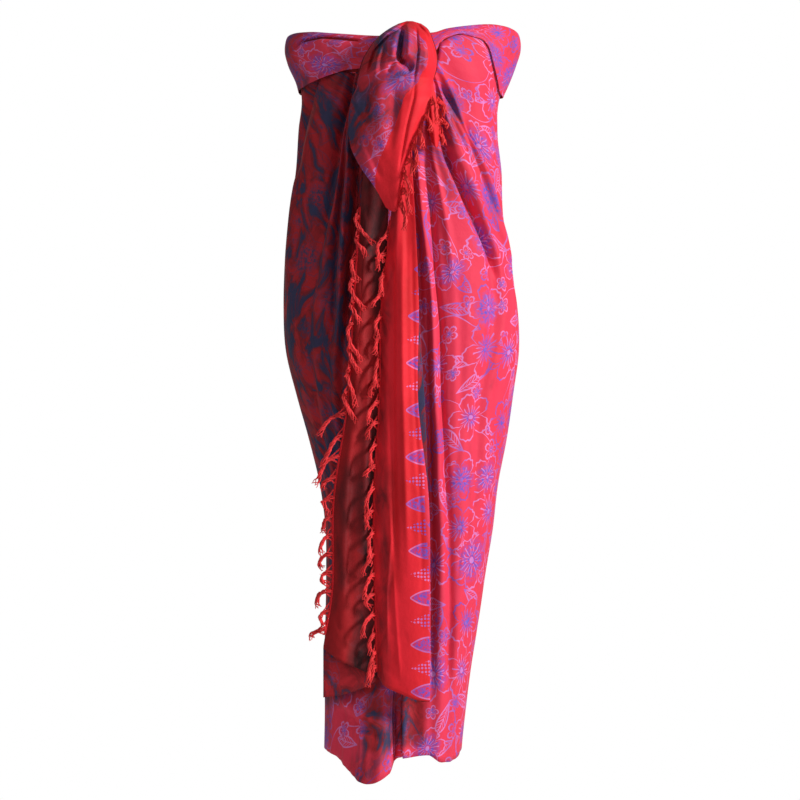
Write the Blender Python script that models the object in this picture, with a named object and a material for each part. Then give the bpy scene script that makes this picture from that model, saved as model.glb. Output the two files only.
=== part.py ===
"""A batik sarong worn as a strapless wrap dress, as hollow cloth.

One long cloth with fringed ends is wound round the figure, its top edge is turned down into a
band, and the two upper corners are knotted at the front. Below the knot the two ends hang down.
X is to the right in the front view, -Y is the front and Z is up. The origin is the middle of the
figure at the height where the bust carries the band.
"""

import math
from collections import namedtuple

import bmesh
import bpy
import numpy as np

MM = 0.001
WALL = 1.6
SEAM_GAP = 0.3
KNOT_FLOOR = -30.0
HANG_TOP = KNOT_FLOOR - SEAM_GAP
WRAP_TOP = -20.0
KNOT_STANDOFF = 7.6
SIDE_ANGLE = 94.0
BACK_ANGLE = SIDE_ANGLE + 0.3
LEAST_ANGLE_STEP = 1.3
ROUNDNESS = 2.3
WRAP_ROWS = 21
# Over 1, so that the rows of points are closer near the band.
ROW_CROWDING = 1.2
FOLD_STEPS = 2
BACK_COLUMNS = 29
# Heights of the back's hem at its right edge, middle and left edge, and its folds' fade in degrees.
BACK_HEMS = (-1030, -1026, -1038)
SEAM_FADE = 12
HIP_SHARE = 0.4

ROLL_STEPS = 4
KNOT_FRONT_STEPS = 17
KNOT_BACK_STEPS = 12
# How full the knot's level sections are, and the most that its gathers draw in, as a share.
KNOT_FULLNESS = 2.6
GATHER_LIMIT = 0.6

PANEL_STEPS = 3
FALL_ROWS = 19
FRONT_TAIL_ROWS = 13
SHORT_TAIL_ROWS = 6
SMOOTH_BELOW = 50

# The strip along a fringed edge and its tassels: root height, thickness, stand-off and tip.
FRINGE_STRIP = 3.5
TASSEL_ROOT = 6.0
TASSEL_THICK = 6.5
TASSEL_START = 4.6
TASSEL_TIP = 3.0

# The figure: level rings of the wrap's inner face, in millimetres.
Ring = namedtuple("Ring", "z left right front back")
RINGS = (
    Ring(60, -152, 164, -106, 90),
    Ring(40, -163, 172, -112, 93),
    Ring(22, -166, 173, -116, 94),
    Ring(0, -162, 167, -118, 93),
    Ring(-30, -151, 157, -117, 90),
    Ring(-52, -148, 149, -115, 88),
    Ring(-97, -153, 145, -112, 86),
    Ring(-165, -158, 152, -110, 85),
    Ring(-232, -167, 154, -110, 94),
    Ring(-300, -174, 164, -111, 107),
    Ring(-367, -176, 176, -112, 116),
    Ring(-435, -172, 179, -112, 117),
    Ring(-502, -156, 171, -110, 112),
    Ring(-570, -137, 161, -107, 104),
    Ring(-637, -121, 148, -104, 97),
    Ring(-705, -112, 140, -101, 92),
    Ring(-772, -111, 129, -98, 89),
    Ring(-840, -112, 119, -96, 87),
    Ring(-907, -114, 107, -95, 85),
    Ring(-975, -113, 98, -96, 84),
    Ring(-1042, -114, 91, -97, 84),
    Ring(-1090, -115, 89, -98, 84),
)

# The folds of the two front stretches, from left to right. Each row is one fold line: where it
# starts, its x at X_HEIGHTS, how far it stands out of the ring at RISE_HEIGHTS, and its hem.
# The first rise is at the start and the last at the hem. SIDE means at the side seam.
SIDE = 999
X_HEIGHTS = (-45, -135, -210, -285, -360, -510, -660, -810, -960, -1045)
RISE_HEIGHTS = (-135, -360, -660, -930)
Fold = namedtuple("Fold", "name start x rise hem")
FRONT_LEFT = (
    Fold("side seam", (-SIDE, -20), (-SIDE,) * 10, (0, 0, 0, 0, 0, 0), -1038),
    Fold("side", (-141, -20), (-144,) + (-SIDE,) * 9, (0, 0, 0, 0, 0, 0), -1038),
    Fold(
        "valley 1",
        (-124, -20),
        (-133, -154, -SIDE, -SIDE, -SIDE, -152, -117, -108, -106, -111),
        (-4, -3, 0, 0, 0, 0),
        -1040,
    ),
    Fold(
        "fold 1",
        (-111, -20),
        (-121, -148, -162, -171, -173, -148, -114, -104, -101, -106),
        (3, 2, 0, 0, 1, 1),
        -1042,
    ),
    Fold(
        "rib 1",
        (-85, -20),
        (-97, -139, -156, -166, -168, -143, -110, -99, -96, -100),
        (7, 7, 1, 0, 2, 2),
        -1044,
    ),
    Fold(
        "plain",
        (-76, -20),
        (-85, -118, -135, -150, -154, -136, -106, -94, -90, -94),
        (3, 1, 0, 1, 1, 1),
        -1047,
    ),
    Fold(
        "valley 2",
        (-69, -20),
        (-73, -92, -105, -121, -136, -127, -101, -88, -84, -87),
        (-3, -5, -2, -1, 0, 2),
        -1052,
    ),
    Fold(
        "rib 2",
        (-64, -20),
        (-69, -86, -96, -108, -118, -117, -96, -82, -76, -78),
        (4, 7, 4, 1, 3, 6),
        -1060,
    ),
    Fold(
        "valley 3",
        (-60, -20),
        (-66, -82, -89, -96, -100, -107, -91, -76, -69, -70),
        (3, 2, -1, -1, 1, 8),
        -1067,
    ),
    Fold(
        "rib 3",
        (-56, -20),
        (-62, -76, -81, -85, -90, -97, -86, -70, -61, -62),
        (4, 7, 5, 1, 3, 12),
        -1074,
    ),
    Fold(
        "valley 4",
        (-52, -20),
        (-58, -69, -67, -73, -78, -86, -80, -64, -54, -53),
        (1, -4, -3, 0, 3, 19),
        -1081,
    ),
    Fold(
        "under 1",
        (-45, -20),
        (-50, -58, -57, -61, -64, -72, -69, -54, -43, -42),
        (1, 0, 0, 0, 3, 22),
        -1084,
    ),
    Fold(
        "under 2",
        (-31, -20),
        (-38, -45, -43, -46, -49, -54, -51, -39, -30, -29),
        (0, 0, 0, 0, 3, 25),
        -1080,
    ),
    Fold(
        "flare",
        (-15, -20),
        (-22, -30, -27, -28, -31, -33, -30, -22, -16, -14),
        (0, 0, 0, 0, 4, 17),
        -1068,
    ),
    Fold(
        "notch",
        (3, -20),
        (-5, -15, -12, -12, -13, -13, -11, -7, -7, -7),
        (-2, -3, -3, -3, -8, -9),
        -1051,
    ),
    Fold(
        "lap",
        (22, -20),
        (16, 0, 3, 3, 3, 4, 4, 4, 2, 2),
        (-5, -5, -5, -5, -6, -6),
        -1047,
    ),
    Fold(
        "lap edge",
        (45, -20),
        (42, 18, 19, 19, 20, 20, 19, 18, 17, 17),
        (-5, -5, -5, -5, -6, -6),
        -1047,
    ),
)
FRONT_RIGHT = (
    Fold("edge", (36, -36), (34, 6, 6, 8, 9, 9, 6, 5, 3, 4), (2, 2, 2, 2, 2, 2), -1048),
    Fold(
        "slit", (40, -34), (39, 15, 22, 30, 33, 39, 45, 46, 45, 42), (2, 0, -1, 0, 1, 2), -1044
    ),
    Fold(
        "pleat", (42, -33), (42, 22, 30, 39, 45, 51, 57, 60, 58, 54), (3, 6, 8, 8, 7, 6), -1054
    ),
    Fold(
        "tuck", (45, -31), (45, 36, 43, 52, 58, 64, 72, 75, 70, 64), (3, 3, 3, 4, 5, 5), -1055
    ),
    Fold(
        "swell", (47, -30), (48, 48, 63, 78, 86, 84, 88, 85, 76, 69), (4, 8, 8, 7, 6, 6), -1055
    ),
    Fold(
        "rib a",
        (49, -27),
        (52, 58, 85, 118, 124, 102, 101, 93, 81, 73),
        (4, 10, 6, 4, 4, 4),
        -1054,
    ),
    Fold(
        "valley a",
        (51, -24),
        (55, 64, 97, 131, 143, 117, 111, 99, 85, 76),
        (3, -3, -1, 2, 3, 3),
        -1053,
    ),
    Fold(
        "rib b",
        (52, -21),
        (60, 79, 111, 141, 156, 130, 119, 104, 89, 79),
        (5, 10, 4, 3, 3, 3),
        -1052,
    ),
    Fold(
        "dip",
        (53, -16),
        (66, 93, 121, 150, 164, 141, 126, 108, 92, 82),
        (4, 5, 2, 2, 2, 2),
        -1051,
    ),
    Fold(
        "rib c",
        (54, -10),
        (74, 108, 136, 157, 169, 150, 132, 112, 95, 85),
        (5, 11, 3, 2, 2, 2),
        -1048,
    ),
    Fold(
        "valley b",
        (56, 0),
        (84, 117, 142, 160, 172, 157, 137, 115, 98, 88),
        (3, 0, 1, 1, 1, 1),
        -1043,
    ),
    Fold(
        "crest",
        (59, 24),
        (111, 129, 147, SIDE, SIDE, 162, 141, 118, 100, SIDE),
        (4, 3, 1, 1, 1, 1),
        -1039,
    ),
    Fold(
        "bust",
        (87, 37),
        (126, 137, 150, SIDE, SIDE, 166, 144, 121, SIDE, SIDE),
        (2.5, 2, 1, 0, 0, 0),
        -1036,
    ),
    Fold(
        "shoulder", (123, 36), (138, 143) + (SIDE,) * 8, (2.5, 1, 0, 0, 0, 0), -1034
    ),
    Fold("corner", (145, 26), (145,) + (SIDE,) * 9, (2.5, 1, 0, 0, 0, 0), -1032),
    Fold("turn", (157, 4), (148,) + (SIDE,) * 9, (2.5, 0, 0, 0, 0, 0), -1031),
    Fold("side seam", (SIDE, -20), (SIDE,) * 10, (0, 0, 0, 0, 0, 0), -1030),
)

# Soft folds of the back: angle from the front at the top and the hem, half width and rises.
BackFold = namedtuple("BackFold", "top hem width rise_top rise_hip rise_hem")
BACK_FOLDS = (
    BackFold(118, 112, 10, 2, 1, 6),
    BackFold(136, 130, 11, -2, 0, -5),
    BackFold(152, 148, 10, 3, 1, 7),
    BackFold(172, 168, 12, -2, -1, -6),
    BackFold(192, 190, 11, 3, 2, 7),
    BackFold(211, 210, 11, -2, -1, -5),
    BackFold(232, 230, 11, 2, 1, 6),
)

# The turned-down band, from its end behind the knot round the left, the back and the right.
# inner is the lower rim of its inner leg, lower that of its outer leg, and the two widths
# are the room between the legs at the roll and at the lower edge.
Band = namedtuple("Band", "angle top lower inner width low_width")
BAND_SIZES = Band._fields[1:]
BAND_STEP = 7.5
BAND = (
    Band(1.5, 35, -5, -19.7, 3.5, 3.5),
    Band(-20, 35, -5, -19.7, 3.5, 3.5),
    Band(-30, 36, -14, -19.7, 4.5, 4.5),
    Band(-40, 38, -16, -19.7, 5, 10),
    Band(-53, 41, -25, -19.7, 6, 13),
    Band(-62, 44, -32, -19.7, 7, 11),
    Band(-74, 45, -39, -19.7, 8, 6),
    Band(-94, 43, -44, -19.7, 8, 3.4),
    Band(-130, 41, -46, -19.7, 8, 8),
    Band(-180, 40, -45, -19.7, 7, 7),
    Band(-230, 41, -47, -19.7, 8, 8),
    Band(-266, 46, -50, -19.7, 9, 6),
    Band(-276, 50, -51, -7.7, 9, 6),
    Band(-286, 54, -46, 5, 9, 6),
    Band(-295, 56, -18, 27, 8, 6.5),
    Band(-303, 55, 30, 36.8, 6, 6),
    Band(-318, 50, 40, 37.8, 4, 4),
    Band(-328, 46, 31, 28, 4, 4),
    Band(-331, 43, 28, 25, 3.5, 3.5),
    Band(-333, 41, 10, -9, 3.5, 3.5),
    Band(-342, 39, 0, -19.7, 3.5, 3.5),
    Band(-357, 38, -5, -19.7, 3.5, 3.5),
)

# The knot: level sections between its left and right ends, bulging forwards.
KnotLevel = namedtuple("KnotLevel", "z left right bulge")
KNOT = (
    KnotLevel(-30, -64, 50, 40),
    KnotLevel(-15, -61, 54, 45),
    KnotLevel(0, -58, 55, 48),
    KnotLevel(14, -50, 53, 47),
    KnotLevel(27, -43, 50, 41),
    KnotLevel(38, -31, 46, 32),
    KnotLevel(47, -17, 41, 21),
    KnotLevel(53, -5, 34, 12),
)
# Where the gathered cloth is drawn in (depth over 0) or swells, along a line from one end to the
# other.
Gather = namedtuple("Gather", "x_top z_top x_low z_low width depth")
GATHERS = (
    Gather(8, 46, -2, -10, 7, 17),
    Gather(-2, -10, 12, -24, 6, 9),
    Gather(22, 45, 20, -30, 8, -5),
    Gather(32, 40, 46, 0, 5, 6),
    Gather(-8, 46, -36, 14, 5, 6),
    Gather(-36, 14, -46, -22, 5, 6),
    Gather(-22, 20, -30, -30, 7, -4),
    Gather(-14, 0, -18, -30, 5, 4),
)

# The hanging panels. Each row is a level, and each pair is where one fold line is, as x and y.
# The last row holds the lower end of each line, with its own height.
RIGHT_FALL = (
    (HANG_TOP, ((-6, -137), (2, -142), (10, -146), (18, -146), (28, -141), (20, -136), (26, -132))),
    (-135, ((-10, -134), (-4, -140), (4, -146), (12, -145), (18, -140), (8, -135), (14, -129))),
    (-210, ((-12, -133), (-8, -139), (-2, -145), (10, -141), (21, -143), (12, -135), (18, -128))),
    (-285, ((-18, -131), (-12, -138), (-5, -145), (10, -142), (25, -143), (14, -135), (22, -128))),
    (-360, ((-26, -129), (-18, -137), (-6, -146), (10, -146), (28, -142), (16, -135), (26, -128))),
    (-510, ((-30, -127), (-21, -136), (-6, -145), (10, -146), (27, -141), (16, -134), (37, -129))),
    (-660, ((-38, -124), (-26, -133), (-6, -142), (18, -144), (43, -139), (28, -131), (42, -127))),
    (-810, ((-36, -121), (-23, -130), (2, -138), (24, -140), (45, -135), (30, -128), (43, -123))),
    (-900, ((-34, -119), (-22, -128), (5, -136), (24, -138), (45, -133), (31, -126), (43, -121))),
)
RIGHT_FALL_ENDS = (-922, -938, -950, -957, -960, -960, -958)
LEFT_FALL = (
    (HANG_TOP, ((-35, -140), (-27, -144), (-18, -139), (-9, -131), (-14, -127), (-22, -128))),
    (-135, ((-51, -134), (-42, -139), (-30, -134), (-16, -128), (-24, -124), (-36, -122))),
    (-210, ((-58, -132), (-50, -138), (-36, -132), (-17, -126), (-28, -122), (-44, -120))),
    (-285, ((-63, -130), (-54, -137), (-40, -129), (-20, -122.5), (-32, -119.5), (-53, -117))),
    (-360, ((-68, -128), (-58, -136), (-45, -127), (-24, -121), (-37, -118.5), (-60, -116))),
    (-510, ((-77, -124), (-66, -133), (-51, -125.5), (-29, -119), (-46, -116), (-72, -113))),
    (-660, ((-98, -119), (-80, -129), (-60, -123), (-35, -117), (-58, -112), (-90, -107))),
    (-810, ((-102, -115), (-83, -126), (-61, -119), (-36, -114), (-72, -108), (-104, -104))),
    (-880, ((-115, -112), (-88, -124), (-62, -117), (-36, -112), (-78, -106), (-115, -102))),
)
LEFT_FALL_ENDS = (-882, -901, -912, -930, -950, -956)
FRONT_TAIL = (
    (HANG_TOP, ((-62, -139), (-36, -158), (-6, -164), (21, -160), (46, -144))),
    (-60, ((-72, -141), (-39, -160), (-5, -167), (24, -168), (45, -155))),
    (-105, ((-77, -143), (-48, -160), (-18, -167), (14, -172), (28, -162))),
    (-135, ((-73, -146), (-50, -160), (-24, -166), (6, -171), (16, -162))),
    (-165, ((-58, -149), (-42, -158), (-22, -163), (-1, -168), (5, -161))),
    (-195, ((-37, -153), (-28, -157), (-18, -160), (-4, -164), (3, -158))),
    (-228, ((-19, -155), (-15, -157), (-11, -159), (-7, -160), (-4, -158))),
)
FRONT_TAIL_ENDS = (-224, -228, -230, -230, -226)
SHORT_TAIL = (
    (HANG_TOP, ((36, -134), (41, -138), (47, -134))),
    (-60, ((36, -136), (45, -141), (54, -135))),
    (-100, ((41, -134), (50, -139), (59, -133))),
    (-135, ((49, -133), (53, -136), (57, -132))),
)
SHORT_TAIL_ENDS = (-124, -133, -132)

# Tassels: where on the fringed edge each is rooted, and the stops of its bend from there, as
# millimetres out from the edge, down, and forwards.
HANG = ((9, 3, 0), (16, 9, -2), (17, 18, -3), (13, 26, -3))
COMMA = ((9, 2, 0), (14, 8, 2), (13, 17, 3), (9, 24, 3))
LONG = ((9, 4, 2), (17, 13, 4), (22, 28, 4), (26, 42, 4))
OVER = ((6, 4, 7), (3, 12, 14), (-6, 26, 16), (-14, 42, 14))
LOOP = ((6, 5, 6), (6, 16, 13), (0, 34, 15), (-10, 54, 13))
DANGLE = ((6, 5, 6), (6, 15, 12), (2, 30, 14), (-3, 48, 13))
FORE = ((4, 4, 8), (8, 12, 16), (11, 28, 20), (9, 44, 20))
FORE_COMMA = ((5, 3, 7), (9, 9, 10), (11, 18, 10), (9, 26, 9))
SIDEWAYS = ((6, 3, 0), (9, 8, 1), (9, 14, 2), (7, 20, 2))
TIP = ((4, 4, 8), (7, 12, 10), (8, 24, 13), (6, 36, 16))
LEFT_TASSELS = (
    (-235, OVER),
    (-266, OVER),
    (-297, DANGLE),
    (-330, LOOP),
    (-362, OVER),
    (-395, LOOP),
    (-428, OVER),
    (-462, LOOP),
    (-498, LOOP),
    (-530, LONG),
    (-562, LONG),
    (-594, LONG),
    (-625, HANG),
    (-655, COMMA),
    (-683, HANG),
    (-711, COMMA),
    (-739, HANG),
    (-767, COMMA),
    (-795, HANG),
    (-824, COMMA),
    (-852, HANG),
)
RIGHT_TASSELS = (
    (-262, FORE),
    (-292, FORE_COMMA),
    (-322, FORE),
    (-352, FORE_COMMA),
    (-384, FORE),
    (-416, FORE_COMMA),
    (-448, FORE),
    (-480, FORE_COMMA),
    (-512, FORE),
    (-544, FORE_COMMA),
    (-576, FORE),
    (-608, FORE_COMMA),
    (-640, FORE),
    (-675, FORE_COMMA),
    (-708, FORE),
    (-740, FORE_COMMA),
    (-770, FORE),
    (-800, FORE_COMMA),
    (-830, FORE),
    (-858, FORE_COMMA),
    (-886, FORE),
    (-908, FORE_COMMA),
)
FRONT_TAIL_TASSELS = (
    (-64, TIP),
    (-86, TIP),
    (-108, TIP),
    (-130, TIP),
    (-152, TIP),
    (-174, TIP),
    (-196, TIP),
    (-218, TIP),
)
SHORT_TAIL_TASSELS = ((-66, SIDEWAYS), (-90, SIDEWAYS), (-114, SIDEWAYS))

CLOTH_RED = (0.86, 0.035, 0.05)
CLOTH_DARK = (0.28, 0.02, 0.03)
CLOTH_REVERSE = (0.42, 0.03, 0.04)
FRINGE_RED = (0.80, 0.05, 0.06)


def smooth_between(at, places, values):
    """A smooth curve through values given at rising places, read at any number of points."""
    places = np.asarray(places, float)
    values = np.asarray(values, float)
    at = np.clip(at, places[0], places[-1])
    slopes = np.gradient(values, places)
    index = np.clip(np.searchsorted(places, at) - 1, 0, len(places) - 2)
    span = places[index + 1] - places[index]
    t = (at - places[index]) / span
    start, end = values[index], values[index + 1]
    return (
        (2 * t**3 - 3 * t**2 + 1) * start
        + (t**3 - 2 * t**2 + t) * span * slopes[index]
        + (3 * t**2 - 2 * t**3) * end
        + (t**3 - t**2) * span * slopes[index + 1]
    )


def ring_at(z):
    """Centre and half sizes of the figure's ring at this height."""
    rows = RINGS[::-1]
    heights = [ring.z for ring in rows]
    left, right, front, back = (
        smooth_between(z, heights, [getattr(ring, side) for ring in rows])
        for side in ("left", "right", "front", "back")
    )
    return (left + right) / 2, (front + back) / 2, (right - left) / 2, (back - front) / 2


def body_point(angle, z, out):
    """A point this far outside the ring. The angle in degrees starts at the front, towards +X."""
    cx, cy, a, b = ring_at(z)
    sin, cos = np.sin(np.radians(angle)), np.cos(np.radians(angle))
    radius = (np.abs(sin / a) ** ROUNDNESS + np.abs(cos / b) ** ROUNDNESS) ** (-1 / ROUNDNESS)
    x, y = radius * sin, -radius * cos
    nx = np.sign(x) * np.abs(x / a) ** (ROUNDNESS - 1) / a
    ny = np.sign(y) * np.abs(y / b) ** (ROUNDNESS - 1) / b
    length = np.hypot(nx, ny)
    return np.stack(
        [cx + x + out * nx / length, cy + y + out * ny / length, z + 0 * x], axis=-1
    )


def angle_at_x(x, z):
    """The angle at which the front of the ring has this x; past the sides, the seam's angle."""
    cx, _, a, b = ring_at(z)
    across = (x - cx) / a
    depth = b * (1 - np.minimum(np.abs(across), 1) ** ROUNDNESS) ** (1 / ROUNDNESS)
    angle = np.degrees(np.arctan2(across * a, depth))
    return np.where(np.abs(across) >= 1, np.sign(across) * SIDE_ANGLE, angle)


def join_mesh(name, points, faces, color):
    mesh = bpy.data.meshes.new(name)
    mesh.from_pydata([tuple(point) for point in points * MM], [], faces)
    shape = bmesh.new()
    shape.from_mesh(mesh)
    bmesh.ops.recalc_face_normals(shape, faces=shape.faces)
    if shape.calc_volume(signed=True) < 0:
        bmesh.ops.reverse_faces(shape, faces=shape.faces)
    shape.to_mesh(mesh)
    shape.free()
    mesh.shade_smooth()
    mesh.set_sharp_from_angle(angle=math.radians(SMOOTH_BELOW))
    obj = bpy.data.objects.new(name, mesh)
    bpy.context.scene.collection.objects.link(obj)
    material = bpy.data.materials.new(name)
    material.use_nodes = True
    shader = material.node_tree.nodes["Principled BSDF"]
    shader.inputs["Base Color"].default_value = (*color, 1)
    shader.inputs["Roughness"].default_value = 0.75
    shader.inputs["Metallic"].default_value = 0
    mesh.materials.append(material)
    return obj


def walled(name, inner, outer, color):
    """A closed wall between two grids of points, rows downwards and columns to the right."""
    rows, columns = inner.shape[:2]
    count = rows * columns
    index = np.arange(count).reshape(rows, columns)
    faces = []
    for i in range(rows - 1):
        for j in range(columns - 1):
            a, b, c, d = index[i, j], index[i + 1, j], index[i + 1, j + 1], index[i, j + 1]
            faces.append((d, c, b, a))
            faces.append((a + count, b + count, c + count, d + count))
    around = list(index[0, :]) + list(index[1:, -1]) + list(index[-1, -2::-1])
    around += list(index[-2:0:-1, 0])
    for a, b in zip(around, around[1:] + around[:1]):
        faces.append((a, a + count, b + count, b))
    points = np.concatenate([inner.reshape(-1, 3), outer.reshape(-1, 3)])
    return join_mesh(name, points, [tuple(map(int, face)) for face in faces], color)


def between(values, steps):
    """Values at fold lines, and steps - 1 more between each two, level at every line."""
    out = []
    for start, end in zip(values, values[1:]):
        for step in range(steps):
            t = (1 - math.cos(math.pi * step / steps)) / 2
            out.append(start * (1 - t) + end * t)
    return np.array(out + [values[-1]])


def eased(at, places, values):
    """Values at rising places, read at any number of points between, level at every place."""
    index = np.clip(np.searchsorted(places, at) - 1, 0, len(places) - 2)
    start, end = np.take(places, index), np.take(places, index + 1)
    t = (1 - np.cos(np.pi * (at - start) / (end - start))) / 2
    return np.take(values, index) * (1 - t) + np.take(values, index + 1) * t


def straight_between(values, steps):
    lines = np.arange(len(values))
    return np.interp(np.linspace(0, lines[-1], lines[-1] * steps + 1), lines, values)


def drops():
    """How far down the wrap each row of points is, from 0 at its top to 1 at its hem."""
    return np.linspace(0, 1, WRAP_ROWS) ** ROW_CROWDING


def front_stretch(name, folds, color):
    """One front stretch of the wrap. Its columns run along the folds, from the top to the hem."""
    drop = drops()
    angles, rises, heights = [], [], []
    for fold in folds:
        start_x, start_z = fold.start
        z = start_z + (fold.hem - start_z) * drop
        levels = [level for level in X_HEIGHTS if level < start_z]
        places = [start_z, *levels][::-1]
        shown = np.array([start_x, *fold.x[len(X_HEIGHTS) - len(levels) :]][::-1], float)
        at_places = angle_at_x(shown, np.array(places, float))
        angles.append(np.interp(z, places, at_places))
        rise_places = [start_z, *RISE_HEIGHTS, fold.hem][::-1]
        rises.append(smooth_between(z, rise_places, fold.rise[::-1]))
        heights.append(z)
    angles = spread(np.array(angles))
    grid_angle, grid_rise, grid_z = [], [], []
    for row in range(WRAP_ROWS):
        grid_angle.append(straight_between(angles[:, row], FOLD_STEPS))
        grid_rise.append(between([rise[row] for rise in rises], FOLD_STEPS))
        grid_z.append(straight_between([z[row] for z in heights], FOLD_STEPS))
    angle, rise, z = np.array(grid_angle), np.array(grid_rise), np.array(grid_z)
    return walled(
        name, body_point(angle, z, rise), body_point(angle, z, rise + WALL), color
    )


def spread(angles):
    """Keeps the lines that reach a side seam in order, a least step apart."""
    for j in range(len(angles) - 2, -1, -1):
        pushed = np.minimum(angles[j], angles[j + 1] - LEAST_ANGLE_STEP)
        angles[j] = np.where(angles[j] > 0, pushed, angles[j])
    for j in range(1, len(angles)):
        pushed = np.maximum(angles[j], angles[j - 1] + LEAST_ANGLE_STEP)
        angles[j] = np.where(angles[j] < 0, pushed, angles[j])
    return angles


def back_stretch(name, color):
    angle = np.linspace(BACK_ANGLE, 360 - BACK_ANGLE, BACK_COLUMNS)
    drop = drops()[:, None]
    hem = np.interp(angle, (BACK_ANGLE, 180, 360 - BACK_ANGLE), BACK_HEMS)
    z = WRAP_TOP + (hem - WRAP_TOP) * drop
    rise = np.zeros_like(z)
    for fold in BACK_FOLDS:
        middle = fold.top + (fold.hem - fold.top) * drop
        height = np.interp(drop, (0, HIP_SHARE, 1), (fold.rise_top, fold.rise_hip, fold.rise_hem))
        rise += height * np.exp(-(((angle - middle) / fold.width) ** 2))
    from_seam = np.minimum(angle - BACK_ANGLE, 360 - BACK_ANGLE - angle)
    rise *= np.clip(from_seam / SEAM_FADE, 0, 1)
    angle = angle + 0 * drop
    return walled(
        name, body_point(angle, z, rise), body_point(angle, z, rise + WALL), color
    )


def band_section(row):
    """The middle line of the band's section, as offset and height, from its inner rim over the
    roll to its lower edge."""
    half = row.width / 2
    line = [(0, row.inner), (0, (row.inner + row.top - half) / 2)]
    for step in range(ROLL_STEPS + 1):
        turn = math.pi * step / ROLL_STEPS
        line.append((half - half * math.cos(turn), row.top - half + half * math.sin(turn)))
    roll_z = row.top - half
    line.append(((row.width + row.low_width) / 2, (roll_z + row.lower) / 2))
    line.append((row.low_width, row.lower))
    return np.array(line) + (WALL / 2, 0)


def top_band(name, color):
    turns = [-row.angle for row in BAND]
    stops = []
    for start, end in zip(turns, turns[1:]):
        stops += list(np.linspace(start, end, math.ceil((end - start) / BAND_STEP), False))
    turn = np.array(stops + [turns[-1]])
    shape = {key: eased(turn, turns, [getattr(row, key) for row in BAND]) for key in BAND_SIZES}
    shape["inner"] = np.interp(turn, turns, [row.inner for row in BAND])
    grid = []
    for j, at in enumerate(turn):
        line = band_section(Band(-at, *(shape[key][j] for key in BAND_SIZES)))
        along = np.gradient(line, axis=0)
        along /= np.linalg.norm(along, axis=1, keepdims=True)
        across = np.stack([-along[:, 1], along[:, 0]], axis=1) * WALL / 2
        grid.append((line + across, line - across))
    sides = []
    for side in (1, 0):
        offsets = np.array([pair[side][:, 0] for pair in grid])
        heights = np.array([pair[side][:, 1] for pair in grid])
        sides.append(body_point(-turn[:, None] + 0 * offsets, heights, offsets))
    return walled(name, sides[1], sides[0], color)


def gather_depth(x, z):
    """How far the knot's front is drawn in here."""
    depth = 0 * x
    for row in GATHERS:
        start = np.array([row.x_top, row.z_top])
        run = np.array([row.x_low, row.z_low]) - start
        t = np.clip(((x - start[0]) * run[0] + (z - start[1]) * run[1]) / (run @ run), 0, 1)
        away = np.hypot(x - start[0] - t * run[0], z - start[1] - t * run[1])
        depth = depth + row.depth * np.exp(-((away / row.width) ** 2))
    return depth


def knot(name, color):
    points = []
    for level in KNOT:
        middle, half = (level.left + level.right) / 2, (level.right - level.left) / 2
        turns = np.linspace(0, math.pi, KNOT_FRONT_STEPS + 1)
        x = middle - half * np.cos(turns)
        back = body_point(angle_at_x(x, level.z + 0 * x), level.z + 0 * x, KNOT_STANDOFF)
        across = np.abs(np.cos(turns))
        swell = (1 - across**KNOT_FULLNESS) ** (1 / KNOT_FULLNESS)
        drawn = np.minimum(gather_depth(x, level.z), GATHER_LIMIT * level.bulge) * swell
        front = np.stack([x, back[:, 1] - level.bulge * swell + drawn, back[:, 2]], axis=1)
        back_x = np.linspace(level.right, level.left, KNOT_BACK_STEPS + 1)[1:-1]
        level_z = level.z + 0 * back_x
        behind = body_point(angle_at_x(back_x, level_z), level_z, KNOT_STANDOFF)
        points.append(np.concatenate([front, behind]))
    points = np.array(points)
    levels, around = points.shape[:2]
    faces = []
    for i in range(levels - 1):
        for j in range(around):
            k = (j + 1) % around
            faces.append((i * around + j, i * around + k, (i + 1) * around + k, (i + 1) * around + j))
    faces.append(tuple(range(around))[::-1])
    faces.append(tuple(range((levels - 1) * around, levels * around)))
    return join_mesh(name, points.reshape(-1, 3), faces, color)


def panel_lines(levels, ends, rows):
    """Points down each fold line of a hanging panel: an array of rows, lines, and x, y, z."""
    heights = [level[0] for level in levels]
    places = np.array([level[1] for level in levels], float)
    lines = []
    for j, end in enumerate(ends):
        z = np.linspace(heights[0], end, rows)
        x = smooth_between(z, heights[::-1], places[::-1, j, 0])
        y = smooth_between(z, heights[::-1], places[::-1, j, 1])
        lines.append(np.stack([x, y, z], axis=1))
    return np.stack(lines, axis=1)


def panel_grid(levels, ends, rows, steps):
    lines = panel_lines(levels, ends, rows)
    count = lines.shape[1]
    at = np.linspace(0, count - 1, (count - 1) * steps + 1)
    return np.array(
        [
            np.stack([smooth_between(at, range(count), row[:, k]) for k in range(3)], axis=1)
            for row in lines
        ]
    )


def level_normals(grid):
    """Level directions out of the sheet, towards the front where its columns run to the right."""
    along = np.gradient(grid, axis=1)
    normal = np.stack([along[..., 1], -along[..., 0], 0 * along[..., 0]], axis=-1)
    return normal / np.linalg.norm(normal, axis=-1, keepdims=True)


def panel(name, grid, color):
    normal = level_normals(grid)
    return walled(name, grid - normal * WALL / 2, grid + normal * WALL / 2, color)


def edge_frame(grid, column, toward):
    """Down one edge column: points, level directions away from the sheet, and its normals."""
    points = grid[:, column]
    away = grid[:, column] - grid[:, toward]
    away[:, 2] = 0
    away /= np.linalg.norm(away, axis=1, keepdims=True)
    return points, away, level_normals(grid)[:, column]


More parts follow.
